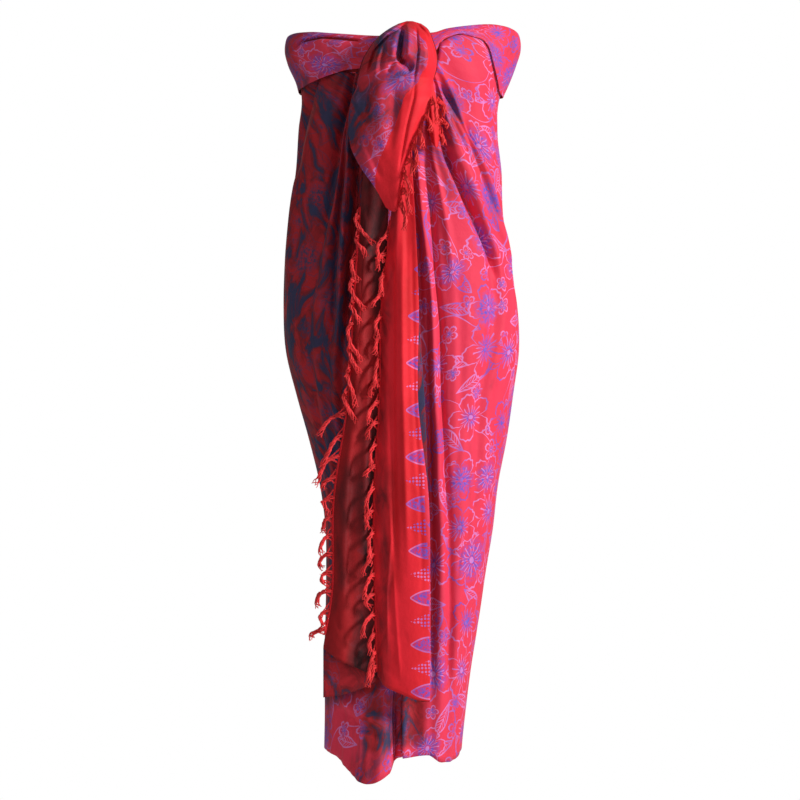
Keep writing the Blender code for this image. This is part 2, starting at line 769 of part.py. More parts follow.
def fringe(name, grid, side, tassels, span, color):
    """A narrow strip along a panel's edge, with its tassels drawn out of the strip's rim."""
    column = 0 if side == "left" else grid.shape[1] - 1
    toward = 1 if side == "left" else column - 1
    sideways = np.array([-1.0 if side == "left" else 1.0, 0, 0])
    points, away, normal = edge_frame(grid, column, toward)
    below = points[::-1, 2]
    stops = {*span, *(float(z) for z in below if span[1] < z < span[0])}
    for root, _ in tassels:
        stops |= {root + TASSEL_ROOT / 2, root - TASSEL_ROOT / 2}
    heights = np.array(sorted(stops, reverse=True))

    def down(values):
        return np.stack([np.interp(heights, below, values[::-1, k]) for k in range(3)], axis=1)

    middle, outward, forward = down(points), down(away), down(normal)
    rims = [
        middle + outward * reach + forward * face * WALL / 2
        for reach, face in (
            (SEAM_GAP, 1),
            (SEAM_GAP + FRINGE_STRIP, 1),
            (SEAM_GAP + FRINGE_STRIP, -1),
            (SEAM_GAP, -1),
        )
    ]
    corners = [point for rim in zip(*rims) for point in rim]
    faces = [(0, 1, 2, 3)]
    bends = {round(root + TASSEL_ROOT / 2, 6): bend for root, bend in tassels}
    for i, z in enumerate(heights[:-1]):
        a, b = 4 * i, 4 * i + 4
        bend = bends.get(round(float(z), 6))
        normals = (forward[i], outward[i])
        chosen = None if bend is None else leaving_face(bend, sideways, normals)
        for k in range(4):
            quad = (a + k, b + k, b + (k + 1) % 4, a + (k + 1) % 4)
            if k == chosen:
                grow_tassel(corners, faces, quad, normals[k], sideways, bend)
            else:
                faces.append(quad)
    last = 4 * (len(heights) - 1)
    faces.append((last + 3, last + 2, last + 1, last))
    return join_mesh(name, np.array(corners), faces, color)


def leaving_face(bend, sideways, normals):
    """Which face of the strip a tassel leaves: the one that looks most along its first stretch."""
    out, _, forward = bend[0]
    start = sideways * out + np.array([0, -forward, 0])
    return int(np.argmax([normal @ start for normal in normals]))


def grow_tassel(corners, faces, quad, normal, sideways, bend):
    """Draws one face of the strip out into a bent, tapering tassel of four sides."""
    root = np.mean([corners[k] for k in quad], axis=0)
    stops = [root, root + normal * TASSEL_START] + [
        root + sideways * out + np.array([0, -forward, -drop]) for out, drop, forward in bend
    ]
    up = corners[quad[0]] - corners[quad[1]]
    hand = np.sign(np.cross(normal, up) @ (corners[quad[0]] - corners[quad[3]]))
    lower = quad
    for i in range(1, len(stops)):
        ahead = stops[min(i + 1, len(stops) - 1)] - stops[i - 1]
        ahead /= np.linalg.norm(ahead)
        up = up - ahead * (up @ ahead)
        up /= np.linalg.norm(up)
        side = hand * np.cross(ahead, up)
        taper = (i - 1) / (len(stops) - 2)
        half = (TASSEL_THICK + (TASSEL_TIP - TASSEL_THICK) * taper**2) / 2
        first = len(corners)
        for u, v in ((1, 1), (-1, 1), (-1, -1), (1, -1)):
            corners.append(stops[i] + up * half * u + side * half * v)
        upper = tuple(range(first, first + 4))
        for k in range(4):
            m = (k + 1) % 4
            faces.append((lower[k], lower[m], upper[m], upper[k]))
        lower = upper
    faces.append(lower)


def clear_scene():
    for obj in list(bpy.data.objects):
        bpy.data.objects.remove(obj, do_unlink=True)


def main():
    clear_scene()
    back_stretch("back", CLOTH_RED)
    front_stretch("front_left", FRONT_LEFT, CLOTH_DARK)
    front_stretch("front_right", FRONT_RIGHT, CLOTH_RED)
    top_band("top_band", CLOTH_RED)
    knot("knot", CLOTH_RED)
    hanging = (
        ("front_tail", FRONT_TAIL, FRONT_TAIL_ENDS, FRONT_TAIL_ROWS, CLOTH_RED),
        ("short_tail", SHORT_TAIL, SHORT_TAIL_ENDS, SHORT_TAIL_ROWS, CLOTH_RED),
        ("right_fall", RIGHT_FALL, RIGHT_FALL_ENDS, FALL_ROWS, CLOTH_RED),
        ("left_fall", LEFT_FALL, LEFT_FALL_ENDS, FALL_ROWS, CLOTH_REVERSE),
    )
    grids = {}
    for name, levels, ends, rows, color in hanging:
        grids[name] = panel_grid(levels, ends, rows, PANEL_STEPS)
        panel(name, grids[name], color)
    fringed = (
        ("left_fall", "left", LEFT_TASSELS, (-220, -866)),
        ("right_fall", "left", RIGHT_TASSELS, (-240, -918)),
        ("front_tail", "right", FRONT_TAIL_TASSELS, (-58, -224)),
        ("short_tail", "right", SHORT_TAIL_TASSELS, (-58, -124)),
    )
    for name, side, tassels, span in fringed:
        fringe(f"{name}_fringe", grids[name], side, tassels, span, FRINGE_RED)


main()
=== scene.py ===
"""The batik sarong of the frame, dressed: cloth shells on the forms of the solids, the batik
print and the twisted fringe. X is to the right in the front view, -Y is the front, Z is up."""

import math
from collections import namedtuple

import bpy
import numpy as np
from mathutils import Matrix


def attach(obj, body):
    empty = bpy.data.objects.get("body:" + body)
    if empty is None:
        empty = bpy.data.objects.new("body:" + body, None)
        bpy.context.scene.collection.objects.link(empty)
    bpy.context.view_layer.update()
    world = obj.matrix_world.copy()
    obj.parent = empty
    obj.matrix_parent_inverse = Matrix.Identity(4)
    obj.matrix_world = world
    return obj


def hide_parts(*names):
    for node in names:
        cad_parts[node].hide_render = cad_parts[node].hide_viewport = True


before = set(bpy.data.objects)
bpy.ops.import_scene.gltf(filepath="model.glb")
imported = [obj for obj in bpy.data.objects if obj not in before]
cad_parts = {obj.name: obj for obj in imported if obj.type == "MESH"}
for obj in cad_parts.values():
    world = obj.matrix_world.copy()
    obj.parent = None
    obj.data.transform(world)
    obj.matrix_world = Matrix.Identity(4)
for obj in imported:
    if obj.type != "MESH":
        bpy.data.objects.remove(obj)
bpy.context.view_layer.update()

# The batik cloth: a light plain weave of rayon, about 115 g a square metre, printed with wax
# and dyed. Its face is a bright red with hibiscus, leaves and sprays in lilac and violet-blue,
# and one end of the cloth is dyed darker. The dull, soft surface has a slight silky sheen.


def linear(hex_color):
    """An sRGB hex colour as the linear values that Blender's sockets take."""
    parts = [int(hex_color[i : i + 2], 16) / 255 for i in (1, 3, 5)]
    return [c / 12.92 if c <= 0.04045 else ((c + 0.055) / 1.055) ** 2.4 for c in parts] + [1]


def put(tree, kind, inputs=(), out=0, **settings):
    """Adds a node to the tree, sets it, links or fills its inputs, and gives one of its outputs."""
    node = tree.nodes.new(kind)
    for key, value in settings.items():
        setattr(node, key, value)
    pairs = inputs.items() if isinstance(inputs, dict) else enumerate(inputs)
    for key, value in pairs:
        if isinstance(value, bpy.types.NodeSocket):
            tree.links.new(value, node.inputs[key])
        else:
            node.inputs[key].default_value = value
    return node.outputs[out]


# A colour mix's sockets by number, because their names stand for other data types too.
MIX_SHARE, MIX_FROM, MIX_TO, MIXED = 0, 6, 7, 2

# A drawn flower, in shares of its radius: where its petals part, how far they reach past that,
# the ruffle of their edge, its eye, and where its stamens start and end.
PETALS, RUFFLES, STAMENS = 5, 27, 15
PARTING, PETAL_REACH, RUFFLE = 0.32, 0.66, 0.022
EYE, STAMEN_ROOT, STAMEN_TIP = 0.1, 0.17, 0.62
# The least size of a flower, and how much larger one can be.
LEAST_SIZE, SIZE_RANGE = 0.8, 0.45
# In metres: the width of a wax line, and how far a hand-drawn one strays, in waves of 14 mm.
WAX_LINE, STRAY_LINE, STRAY_WAVES = 0.0009, 0.0042, 70.0


def flower_layer(tree, at, spacing, radius, shown, filled):
    """Five-petalled flowers, one in each cell of the cloth, all turned and sized differently.
    Gives how far each point is inside a petal's line, the drawn lines and the filled petals."""
    cell = put(
        tree, "ShaderNodeTexVoronoi", {"Vector": at, "Scale": 1 / spacing, "Randomness": 0.62},
        "Position", voronoi_dimensions="2D",
    )
    chance = put(tree, "ShaderNodeSeparateColor", [cell.node.outputs["Color"]])
    local = put(tree, "ShaderNodeVectorMath", [at, cell], operation="SUBTRACT")
    wobble = put(
        tree, "ShaderNodeTexNoise", {"Vector": at, "Scale": STRAY_WAVES, "Detail": 1.0}, "Color",
        noise_dimensions="2D",
    )
    shift = put(tree, "ShaderNodeVectorMath", [wobble, (0.5, 0.5, 0.5)], operation="SUBTRACT")
    shift = put(
        tree, "ShaderNodeVectorMath", {"Vector": shift, "Scale": STRAY_LINE}, operation="SCALE"
    )
    local = put(tree, "ShaderNodeVectorMath", [local, shift], operation="ADD")
    flat = put(tree, "ShaderNodeSeparateXYZ", [local])
    turn = put(tree, "ShaderNodeMath", [flat.node.outputs[1], flat], operation="ARCTAN2")
    turn = put(tree, "ShaderNodeMath", [chance, 2 * math.pi, turn], operation="MULTIPLY_ADD")
    size = put(
        tree, "ShaderNodeMath",
        [chance.node.outputs[1], SIZE_RANGE * radius, LEAST_SIZE * radius],
        operation="MULTIPLY_ADD",
    )
    far = put(tree, "ShaderNodeVectorMath", [local], "Value", operation="LENGTH")
    far = put(tree, "ShaderNodeMath", [far, size], operation="DIVIDE")
    half = put(tree, "ShaderNodeMath", [turn, PETALS / 2], operation="MULTIPLY")
    lobe = put(tree, "ShaderNodeMath", [half], operation="COSINE")
    lobe = put(tree, "ShaderNodeMath", [lobe], operation="ABSOLUTE")
    lobe = put(tree, "ShaderNodeMath", [lobe, 0.5], operation="POWER")
    ruffle = put(tree, "ShaderNodeMath", [turn, RUFFLES], operation="MULTIPLY")
    ruffle = put(tree, "ShaderNodeMath", [ruffle], operation="SINE")
    edge = put(tree, "ShaderNodeMath", [lobe, PETAL_REACH, PARTING], operation="MULTIPLY_ADD")
    edge = put(tree, "ShaderNodeMath", [ruffle, RUFFLE, edge], operation="MULTIPLY_ADD")
    depth = put(tree, "ShaderNodeMath", [edge, far], operation="SUBTRACT")
    inside = put(
        tree, "ShaderNodeMapRange", {"Value": depth, "From Min": -0.05, "From Max": -0.02}
    )
    thin = WAX_LINE / radius
    line = put(tree, "ShaderNodeMath", [depth], operation="ABSOLUTE")
    line = put(
        tree, "ShaderNodeMapRange", {"Value": line, "From Min": 1.7 * thin, "From Max": thin}
    )
    rays = put(tree, "ShaderNodeMath", [turn, STAMENS], operation="MULTIPLY")
    rays = put(tree, "ShaderNodeMath", [rays], operation="COSINE")
    rays = put(tree, "ShaderNodeMapRange", {"Value": rays, "From Min": 0.55, "From Max": 0.9})
    reach = put(tree, "ShaderNodeMath", [edge, STAMEN_TIP], operation="MULTIPLY")
    reach = put(tree, "ShaderNodeMath", [far, reach], operation="LESS_THAN")
    middle = put(tree, "ShaderNodeMath", [far, STAMEN_ROOT], operation="GREATER_THAN")
    rays = put(tree, "ShaderNodeMath", [rays, reach], operation="MULTIPLY")
    rays = put(tree, "ShaderNodeMath", [rays, middle], operation="MULTIPLY")
    eye = put(tree, "ShaderNodeMath", [far, EYE], operation="LESS_THAN")
    line = put(tree, "ShaderNodeMath", [line, rays], operation="MAXIMUM")
    line = put(tree, "ShaderNodeMath", [line, eye], operation="MAXIMUM")
    here = put(
        tree, "ShaderNodeMath", [chance.node.outputs[2], 1 - shown], operation="GREATER_THAN"
    )
    line = put(tree, "ShaderNodeMath", [line, here], operation="MULTIPLY")
    inside = put(tree, "ShaderNodeMath", [inside, here], operation="MULTIPLY")
    full = put(
        tree, "ShaderNodeMath", [chance.node.outputs[2], 1 - filled], operation="GREATER_THAN"
    )
    petal = put(tree, "ShaderNodeMath", [depth, 0.05], operation="GREATER_THAN")
    heart = put(tree, "ShaderNodeMapRange", {"Value": far, "From Min": 0.82, "From Max": 0.42})
    petal = put(tree, "ShaderNodeMath", [petal, heart], operation="MULTIPLY")
    petal = put(tree, "ShaderNodeMath", [petal, full], operation="MULTIPLY")
    core = put(tree, "ShaderNodeMapRange", {"Value": far, "From Min": 0.46, "From Max": 0.2})
    core = put(tree, "ShaderNodeMath", [core, here], operation="MULTIPLY")
    bare = put(tree, "ShaderNodeMath", [1.0, full], operation="SUBTRACT")
    petal = put(tree, "ShaderNodeMath", [core, bare, petal], operation="MULTIPLY_ADD")
    return inside, line, petal


# A drawn leaf: its half width and how much that leans towards its foot, in shares of its length,
# and in metres the spacing and width of its veins and the half width of its midrib.
LEAF_WIDTH, LEAF_LEAN = 0.34, -0.14
VEIN_SPACING, VEIN_WIDTH, MIDRIB = 0.0052, 0.0011, 0.0007


def leaf_layer(tree, at, spacing, length, shown):
    """Pointed leaves with a midrib and side veins. Gives the inside and the drawn lines."""
    cell = put(
        tree, "ShaderNodeTexVoronoi", {"Vector": at, "Scale": 1 / spacing, "Randomness": 0.8},
        "Position", voronoi_dimensions="2D",
    )
    chance = put(tree, "ShaderNodeSeparateColor", [cell.node.outputs["Color"]])
    local = put(tree, "ShaderNodeVectorMath", [at, cell], operation="SUBTRACT")
    angle = put(tree, "ShaderNodeMath", [chance, 2 * math.pi], operation="MULTIPLY")
    local = put(
        tree, "ShaderNodeVectorRotate", {"Vector": local, "Angle": angle},
        rotation_type="Z_AXIS",
    )
    flat = put(tree, "ShaderNodeSeparateXYZ", [local])
    along = put(tree, "ShaderNodeMath", [flat, 1 / length], operation="MULTIPLY")
    side = put(tree, "ShaderNodeMath", [flat.node.outputs[1]], operation="ABSOLUTE")
    square = put(tree, "ShaderNodeMath", [along, along], operation="MULTIPLY")
    width = put(tree, "ShaderNodeMath", [1.0, square], operation="SUBTRACT")
    lean = put(tree, "ShaderNodeMath", [along, LEAF_LEAN, LEAF_WIDTH], operation="MULTIPLY_ADD")
    width = put(tree, "ShaderNodeMath", [width, lean], operation="MULTIPLY")
    width = put(tree, "ShaderNodeMath", [width, length], operation="MULTIPLY")
    depth = put(tree, "ShaderNodeMath", [width, side], operation="SUBTRACT")
    inside = put(tree, "ShaderNodeMath", [depth, -0.001], operation="GREATER_THAN")
    line = put(tree, "ShaderNodeMath", [depth], operation="ABSOLUTE")
    line = put(tree, "ShaderNodeMapRange", {"Value": line, "From Min": 0.0015, "From Max": 0.0008})
    rib = put(tree, "ShaderNodeMath", [side, MIDRIB], operation="LESS_THAN")
    vein = put(tree, "ShaderNodeMath", [side, 1.1, flat], operation="MULTIPLY_ADD")
    vein = put(tree, "ShaderNodeMath", [vein, VEIN_SPACING], operation="MODULO")
    vein = put(tree, "ShaderNodeMath", [vein], operation="ABSOLUTE")
    vein = put(tree, "ShaderNodeMath", [vein, VEIN_WIDTH], operation="LESS_THAN")
    vein = put(tree, "ShaderNodeMath", [vein, rib], operation="MAXIMUM")
    vein = put(tree, "ShaderNodeMath", [vein, inside], operation="MULTIPLY")
    line = put(tree, "ShaderNodeMath", [line, vein], operation="MAXIMUM")
    here = put(
        tree, "ShaderNodeMath", [chance.node.outputs[2], 1 - shown], operation="GREATER_THAN"
    )
    line = put(tree, "ShaderNodeMath", [line, here], operation="MULTIPLY")
    inside = put(tree, "ShaderNodeMath", [inside, here], operation="MULTIPLY")
    return inside, line


# The border row, in metres: how far from the fringed end its teeth start, their height, spacing
# and swell. Then the dots of the sprigs between them, and how fast a sprig widens.
TOOTH_START, TOOTH_HEIGHT, TOOTH_SPACING, TOOTH_SWELL = 0.046, 0.026, 0.070, 0.0078
DOTS_A_METRE, DOT_RADIUS, SPRIG_SLOPE = 190.0, 0.32, 0.42


def border_layer(tree, at):
    """The row of leaf-like teeth and dotted sprigs beside the plain strip at a fringed end.
    Gives where the general print may be, the drawn lines and the filled teeth."""
    flat = put(tree, "ShaderNodeSeparateXYZ", [at])
    rise = put(tree, "ShaderNodeMath", [flat, TOOTH_START], operation="SUBTRACT")
    step = put(
        tree, "ShaderNodeMath", [flat.node.outputs[1], 1 / TOOTH_SPACING], operation="MULTIPLY"
    )
    # How far each point is from the middle of the nearest tooth, and of the nearest sprig.
    distances = []
    for shift in (0.0, 0.5):
        beside = put(tree, "ShaderNodeMath", [step, shift], operation="ADD")
        beside = put(tree, "ShaderNodeMath", [beside], operation="FRACT")
        beside = put(tree, "ShaderNodeMath", [beside, 0.5], operation="SUBTRACT")
        beside = put(tree, "ShaderNodeMath", [beside], operation="ABSOLUTE")
        beside = put(tree, "ShaderNodeMath", [beside, TOOTH_SPACING], operation="MULTIPLY")
        distances.append(beside)
    from_tooth, from_sprig = distances
    share = put(tree, "ShaderNodeMath", [rise, 1 / TOOTH_HEIGHT], operation="MULTIPLY")
    left = put(tree, "ShaderNodeMath", [2.4, share], operation="SUBTRACT")
    width = put(tree, "ShaderNodeMath", [share, left], operation="MULTIPLY")
    width = put(tree, "ShaderNodeMath", [width, TOOTH_SWELL], operation="MULTIPLY")
    depth = put(tree, "ShaderNodeMath", [width, from_tooth], operation="SUBTRACT")
    tooth = put(tree, "ShaderNodeMath", [depth, 0.0016], operation="GREATER_THAN")
    line = put(tree, "ShaderNodeMath", [depth], operation="ABSOLUTE")
    line = put(tree, "ShaderNodeMapRange", {"Value": line, "From Min": 0.0015, "From Max": 0.0007})
    dots = put(
        tree, "ShaderNodeTexVoronoi",
        {"Vector": at, "Scale": DOTS_A_METRE, "Randomness": 0.15}, "Distance",
        voronoi_dimensions="2D",
    )
    dots = put(tree, "ShaderNodeMath", [dots, DOT_RADIUS], operation="LESS_THAN")
    bunch = put(tree, "ShaderNodeMath", [rise, SPRIG_SLOPE], operation="MULTIPLY")
    bunch = put(tree, "ShaderNodeMath", [from_sprig, bunch], operation="LESS_THAN")
    dots = put(tree, "ShaderNodeMath", [dots, bunch], operation="MULTIPLY")
    started = put(tree, "ShaderNodeMath", [rise, 0.0], operation="GREATER_THAN")
    ended = put(tree, "ShaderNodeMath", [rise, TOOTH_HEIGHT + 0.004], operation="LESS_THAN")
    row = put(tree, "ShaderNodeMath", [started, ended], operation="MULTIPLY")
    line = put(tree, "ShaderNodeMath", [line, dots], operation="MAXIMUM")
    line = put(tree, "ShaderNodeMath", [line, row], operation="MULTIPLY")
    tooth = put(tree, "ShaderNodeMath", [tooth, row], operation="MULTIPLY")
    free = put(
        tree, "ShaderNodeMapRange",
        {"Value": rise, "From Min": TOOTH_HEIGHT + 0.002, "From Max": TOOTH_HEIGHT + 0.008},
    )
    return free, line, tooth


# The colours of the cloth's face and of its reverse, which takes the dye but little of the print.
BatikColors = namedtuple("BatikColors", "ground ground_deep field dark dark_deep patch line fill")
FACE_COLORS = BatikColors(
    "#E61E2E", "#CC121E", "#DD324E", "#AC1A26", "#48101A", "#2C3458", "#CF86CE", "#4050C0"
)
REVERSE_COLORS = BatikColors(
    "#9E0E16", "#7C0A12", "#9E0E16", "#660C14", "#340A10", "#3A1622", "#A04A60", "#54365C"
)
# Patterns a metre: clouds of dye about 60 mm wide, blots 28 mm, the wax grain 5 mm, crumples 22 mm.
CLOUDS, BLOTTING, WAX_GRAIN, CRUMPLES = 16.0, 36.0, 210.0, 46.0
# The threads lie 0.35 mm apart, too fine to show, so the weave is drawn 1.2 mm apart.
WEAVE = 820.0
# Where the sprigs' and the leaves' cells start, so that they don't line up with the flowers'.
SPRIG_SHIFT, LEAF_SHIFT = (0.437, 0.291, 0), (0.153, 0.877, 0)
# Stems a metre, and the half width of one, as a share of the noise that draws them.
STEMS, STEM_WIDTH = 13.0, 0.0035
# How ragged the edge of the darker dye is. How strongly its patches, the filled petals and the
# drawn lines show on the cloth's face, and how much of the lines the dark dye takes.
RAGGED = 1.3
PATCHES, FILLS, LINES, LINES_LOST = 0.8, 0.88, 0.7, 0.55


def batik_material(name, colors, print_share):
    """Rayon, dyed through and printed: its colours, with the weave as a fine bump."""
    material = bpy.data.materials.new(name)
    material.use_nodes = True
    tree = material.node_tree
    shader = tree.nodes["Principled BSDF"]
    cut = put(tree, "ShaderNodeUVMap", uv_map="cut")
    # The dye attribute darkens the colour: it holds real dye and, on some pieces, painted shade.
    dye = put(tree, "ShaderNodeAttribute", out="Fac", attribute_name="dye")

    # The dye runs in streaks up and down the cloth; the darker one ends in ragged clouds.
    streaks = put(tree, "ShaderNodeVectorMath", [cut, (1, 0.5, 1)], operation="MULTIPLY")
    cloud = put(
        tree, "ShaderNodeTexNoise", {"Vector": streaks, "Scale": CLOUDS, "Detail": 4.0}, "Fac",
        noise_dimensions="2D",
    )
    blot = put(
        tree, "ShaderNodeTexNoise",
        {"Vector": streaks, "Scale": BLOTTING, "Detail": 5.0, "Roughness": 0.62, "Distortion": 0.6},
        "Fac", noise_dimensions="2D",
    )
    cloudy = put(tree, "ShaderNodeMapRange", {"Value": cloud, "From Min": 0.4, "From Max": 0.66})
    blotted = put(tree, "ShaderNodeMapRange", {"Value": blot, "From Min": 0.4, "From Max": 0.62})
    bright = put(
        tree, "ShaderNodeMix",
        {MIX_SHARE: cloudy, MIX_FROM: linear(colors.ground), MIX_TO: linear(colors.ground_deep)},
        MIXED, data_type="RGBA",
    )
    dark = put(
        tree, "ShaderNodeMix",
        {MIX_SHARE: blotted, MIX_FROM: linear(colors.dark), MIX_TO: linear(colors.dark_deep)},
        MIXED, data_type="RGBA",
    )
    free, border_line, tooth = border_layer(tree, cut)
    bright = put(
        tree, "ShaderNodeMix",
        {MIX_SHARE: free, MIX_FROM: bright, MIX_TO: linear(colors.field)},
        MIXED, data_type="RGBA",
    )
    dye_and_shade_edge = put(tree, "ShaderNodeMath", [cloud, 0.5], operation="SUBTRACT")
    dye_and_shade_edge = put(tree, "ShaderNodeMath", [dye_and_shade_edge, RAGGED, dye], operation="MULTIPLY_ADD")
    dyed_and_shaded = put(tree, "ShaderNodeMapRange", {"Value": dye_and_shade_edge, "From Min": 0.22, "From Max": 0.72})
    color = put(
        tree, "ShaderNodeMix",
        {MIX_SHARE: dyed_and_shaded, MIX_FROM: bright, MIX_TO: dark},
        MIXED, data_type="RGBA",
    )

    # The print: large flowers over sprigs, leaves and stems, each kind clear of the one above it.
    flower_in, flower_line, flower_fill = flower_layer(
        tree, cut, spacing=0.08, radius=0.036, shown=0.92, filled=0.55
    )
    moved = put(tree, "ShaderNodeVectorMath", [cut, SPRIG_SHIFT], operation="ADD")
    sprig_in, sprig_line, sprig_fill = flower_layer(
        tree, moved, spacing=0.046, radius=0.0125, shown=0.8, filled=0.4
    )
    leaf_at = put(tree, "ShaderNodeVectorMath", [cut, LEAF_SHIFT], operation="ADD")
    leaf_in, leaf_line = leaf_layer(tree, leaf_at, spacing=0.058, length=0.025, shown=0.8)
    stem = put(
        tree, "ShaderNodeTexNoise", {"Vector": cut, "Scale": STEMS, "Detail": 0.4}, "Fac",
        noise_dimensions="2D",
    )
    stem = put(tree, "ShaderNodeMath", [stem, 0.5], operation="SUBTRACT")
    stem = put(tree, "ShaderNodeMath", [stem], operation="ABSOLUTE")
    stem = put(tree, "ShaderNodeMapRange", {"Value": stem, "From Min": 0.0075, "From Max": STEM_WIDTH})
    clear = put(tree, "ShaderNodeMath", [1.0, sprig_in], operation="SUBTRACT")
    leaf_line = put(tree, "ShaderNodeMath", [leaf_line, clear], operation="MULTIPLY")
    covered = put(tree, "ShaderNodeMath", [sprig_in, leaf_in], operation="MAXIMUM")
    clear = put(tree, "ShaderNodeMath", [1.0, covered], operation="SUBTRACT")
    stem = put(tree, "ShaderNodeMath", [stem, clear], operation="MULTIPLY")
    under = put(tree, "ShaderNodeMath", [leaf_line, stem], operation="MAXIMUM")
    under = put(tree, "ShaderNodeMath", [under, sprig_line], operation="MAXIMUM")
    clear = put(tree, "ShaderNodeMath", [1.0, flower_in], operation="SUBTRACT")
    under = put(tree, "ShaderNodeMath", [under, clear], operation="MULTIPLY")
    sprig_fill = put(tree, "ShaderNodeMath", [sprig_fill, clear], operation="MULTIPLY")
    line = put(tree, "ShaderNodeMath", [under, flower_line], operation="MAXIMUM")
    fill = put(tree, "ShaderNodeMath", [sprig_fill, flower_fill], operation="MAXIMUM")
    line = put(tree, "ShaderNodeMath", [line, free], operation="MULTIPLY")
    fill = put(tree, "ShaderNodeMath", [fill, free], operation="MULTIPLY")
    line = put(tree, "ShaderNodeMath", [line, border_line], operation="MAXIMUM")
    fill = put(tree, "ShaderNodeMath", [fill, tooth], operation="MAXIMUM")

    # The blue and lilac inks lie uneven, and fade where the cloth is dyed dark.
    grain = put(
        tree, "ShaderNodeTexNoise",
        {"Vector": cut, "Scale": WAX_GRAIN, "Detail": 3.0, "Roughness": 0.7}, "Fac",
        noise_dimensions="2D",
    )
    worn = put(tree, "ShaderNodeMapRange", {"Value": grain, "From Min": 0.36, "From Max": 0.62})
    fill = put(tree, "ShaderNodeMath", [fill, worn], operation="MULTIPLY")
    patch = put(tree, "ShaderNodeMapRange", {"Value": blot, "From Min": 0.53, "From Max": 0.6})
    patch = put(tree, "ShaderNodeMath", [patch, dyed_and_shaded], operation="MULTIPLY")
    patch = put(tree, "ShaderNodeMath", [patch, free], operation="MULTIPLY")
    patch = put(tree, "ShaderNodeMath", [patch, PATCHES * print_share], operation="MULTIPLY")
    lilac = put(tree, "ShaderNodeMapRange", {"Value": cloud, "From Min": 0.45, "From Max": 0.62})
    ink = put(
        tree, "ShaderNodeMix",
        {MIX_SHARE: lilac, MIX_FROM: linear(colors.line), MIX_TO: linear(colors.fill)},
        MIXED, data_type="RGBA",
    )
    ink = put(
        tree, "ShaderNodeMix",
        {MIX_SHARE: dyed_and_shaded, MIX_FROM: ink, MIX_TO: linear(colors.patch)},
        MIXED, data_type="RGBA",
    )
    wash = put(
        tree, "ShaderNodeMix",
        {MIX_SHARE: dyed_and_shaded, MIX_FROM: linear(colors.fill), MIX_TO: linear(colors.patch)},
        MIXED, data_type="RGBA",
    )
    fill = put(tree, "ShaderNodeMath", [fill, FILLS * print_share], operation="MULTIPLY")
    line = put(tree, "ShaderNodeMath", [line, LINES * print_share], operation="MULTIPLY")
    faded = put(tree, "ShaderNodeMath", [dyed_and_shaded, -LINES_LOST, 1.0], operation="MULTIPLY_ADD")
    line = put(tree, "ShaderNodeMath", [line, faded], operation="MULTIPLY")
    for share, tint in ((patch, linear(colors.patch)), (fill, wash), (line, ink)):
        color = put(
            tree, "ShaderNodeMix",
            {MIX_SHARE: share, MIX_FROM: color, MIX_TO: tint},
            MIXED, data_type="RGBA",
        )
    tree.links.new(color, shader.inputs["Base Color"])

    # The thread and the small crumples are bumps, on a surface that is nearly matt.
    weave = put(
        tree, "ShaderNodeTexNoise", {"Vector": cut, "Scale": WEAVE, "Detail": 1.0}, "Fac",
        noise_dimensions="2D",
    )
    crumple = put(
        tree, "ShaderNodeTexNoise", {"Vector": cut, "Scale": CRUMPLES, "Detail": 3.0}, "Fac",
        noise_dimensions="2D",
    )
    bump = put(tree, "ShaderNodeBump", {"Height": crumple, "Strength": 0.28, "Distance": 0.004})
    bump = put(
        tree, "ShaderNodeBump",
        {"Height": weave, "Strength": 0.3, "Distance": 0.0006, "Normal": bump},
    )
    tree.links.new(bump, shader.inputs["Normal"])
    shader.inputs["Roughness"].default_value = 0.66
    shader.inputs["IOR"].default_value = 1.46
    shader.inputs["Specular IOR Level"].default_value = 0.3
    shader.inputs["Sheen Weight"].default_value = 0.05
    shader.inputs["Sheen Roughness"].default_value = 0.4
    return material


cloth_face = batik_material("batik rayon, face", FACE_COLORS, 1.0)
cloth_reverse = batik_material("batik rayon, reverse", REVERSE_COLORS, 0.3)

# The wound cloth: one turn of the sarong round the figure, from the lap at the front over the
# right side and the back to the left side. It hangs from the band in long folds that gather
# towards the knot, and its hem dips and bulges under the left fall.
MM = 0.001
CLOTH_THICK = 0.7
# An x that stands for a fold line at the side, where the fronts meet the back, and the angle from
# the front at which they meet.
SIDE = 999
SIDE_ANGLE = 94.0
LEAST_ANGLE_STEP = 1.3
ROUNDNESS = 2.3
WRAP_TOP = -20.0
WRAP_ROWS = 136
# Rows lie a little closer together at the top.
ROW_SPREAD = 1.1
FOLD_STEPS = 8
BACK_COLUMNS = 100
# The back: its hem at the right, middle and left, how far down its hips are as a share, and the
# angle over which its folds fade out at the sides.
BACK_HEM, HIPS, SIDE_FADE = (-1030, -1026, -1038), 0.4, 12
# How many rows the fold lines are smoothed over, so that they bend with no kinks.
SMOOTHED_ROWS = 5
# The scene's folds are this much deeper than the fold lines, to a greatest depth, and the cloth
# stands this far off the figure's ring.
FOLD_GAIN, DEEPEST_FOLD, CLEARANCE = 1.35, -9, 1.6
# The y within which front creases give way to those of the back, at the sides.
SIDE_EASE = 30
# The flat cut is lined up on one column of the right front, so that its print isn't sheared.
ALIGNED_COLUMN, ALIGNED_AT = 80, 1000
# The dark end: the angles to the left where it starts and where it pales, and where it ends
# above the hem, as a way down.
DYE_STARTS, DYE_PALES, DYE_ENDS = (-8, 30), (95, 150), (925, 990)
DYE_LOST_BEHIND, DYE_LOST_AT_HEM = 0.75, 0.8

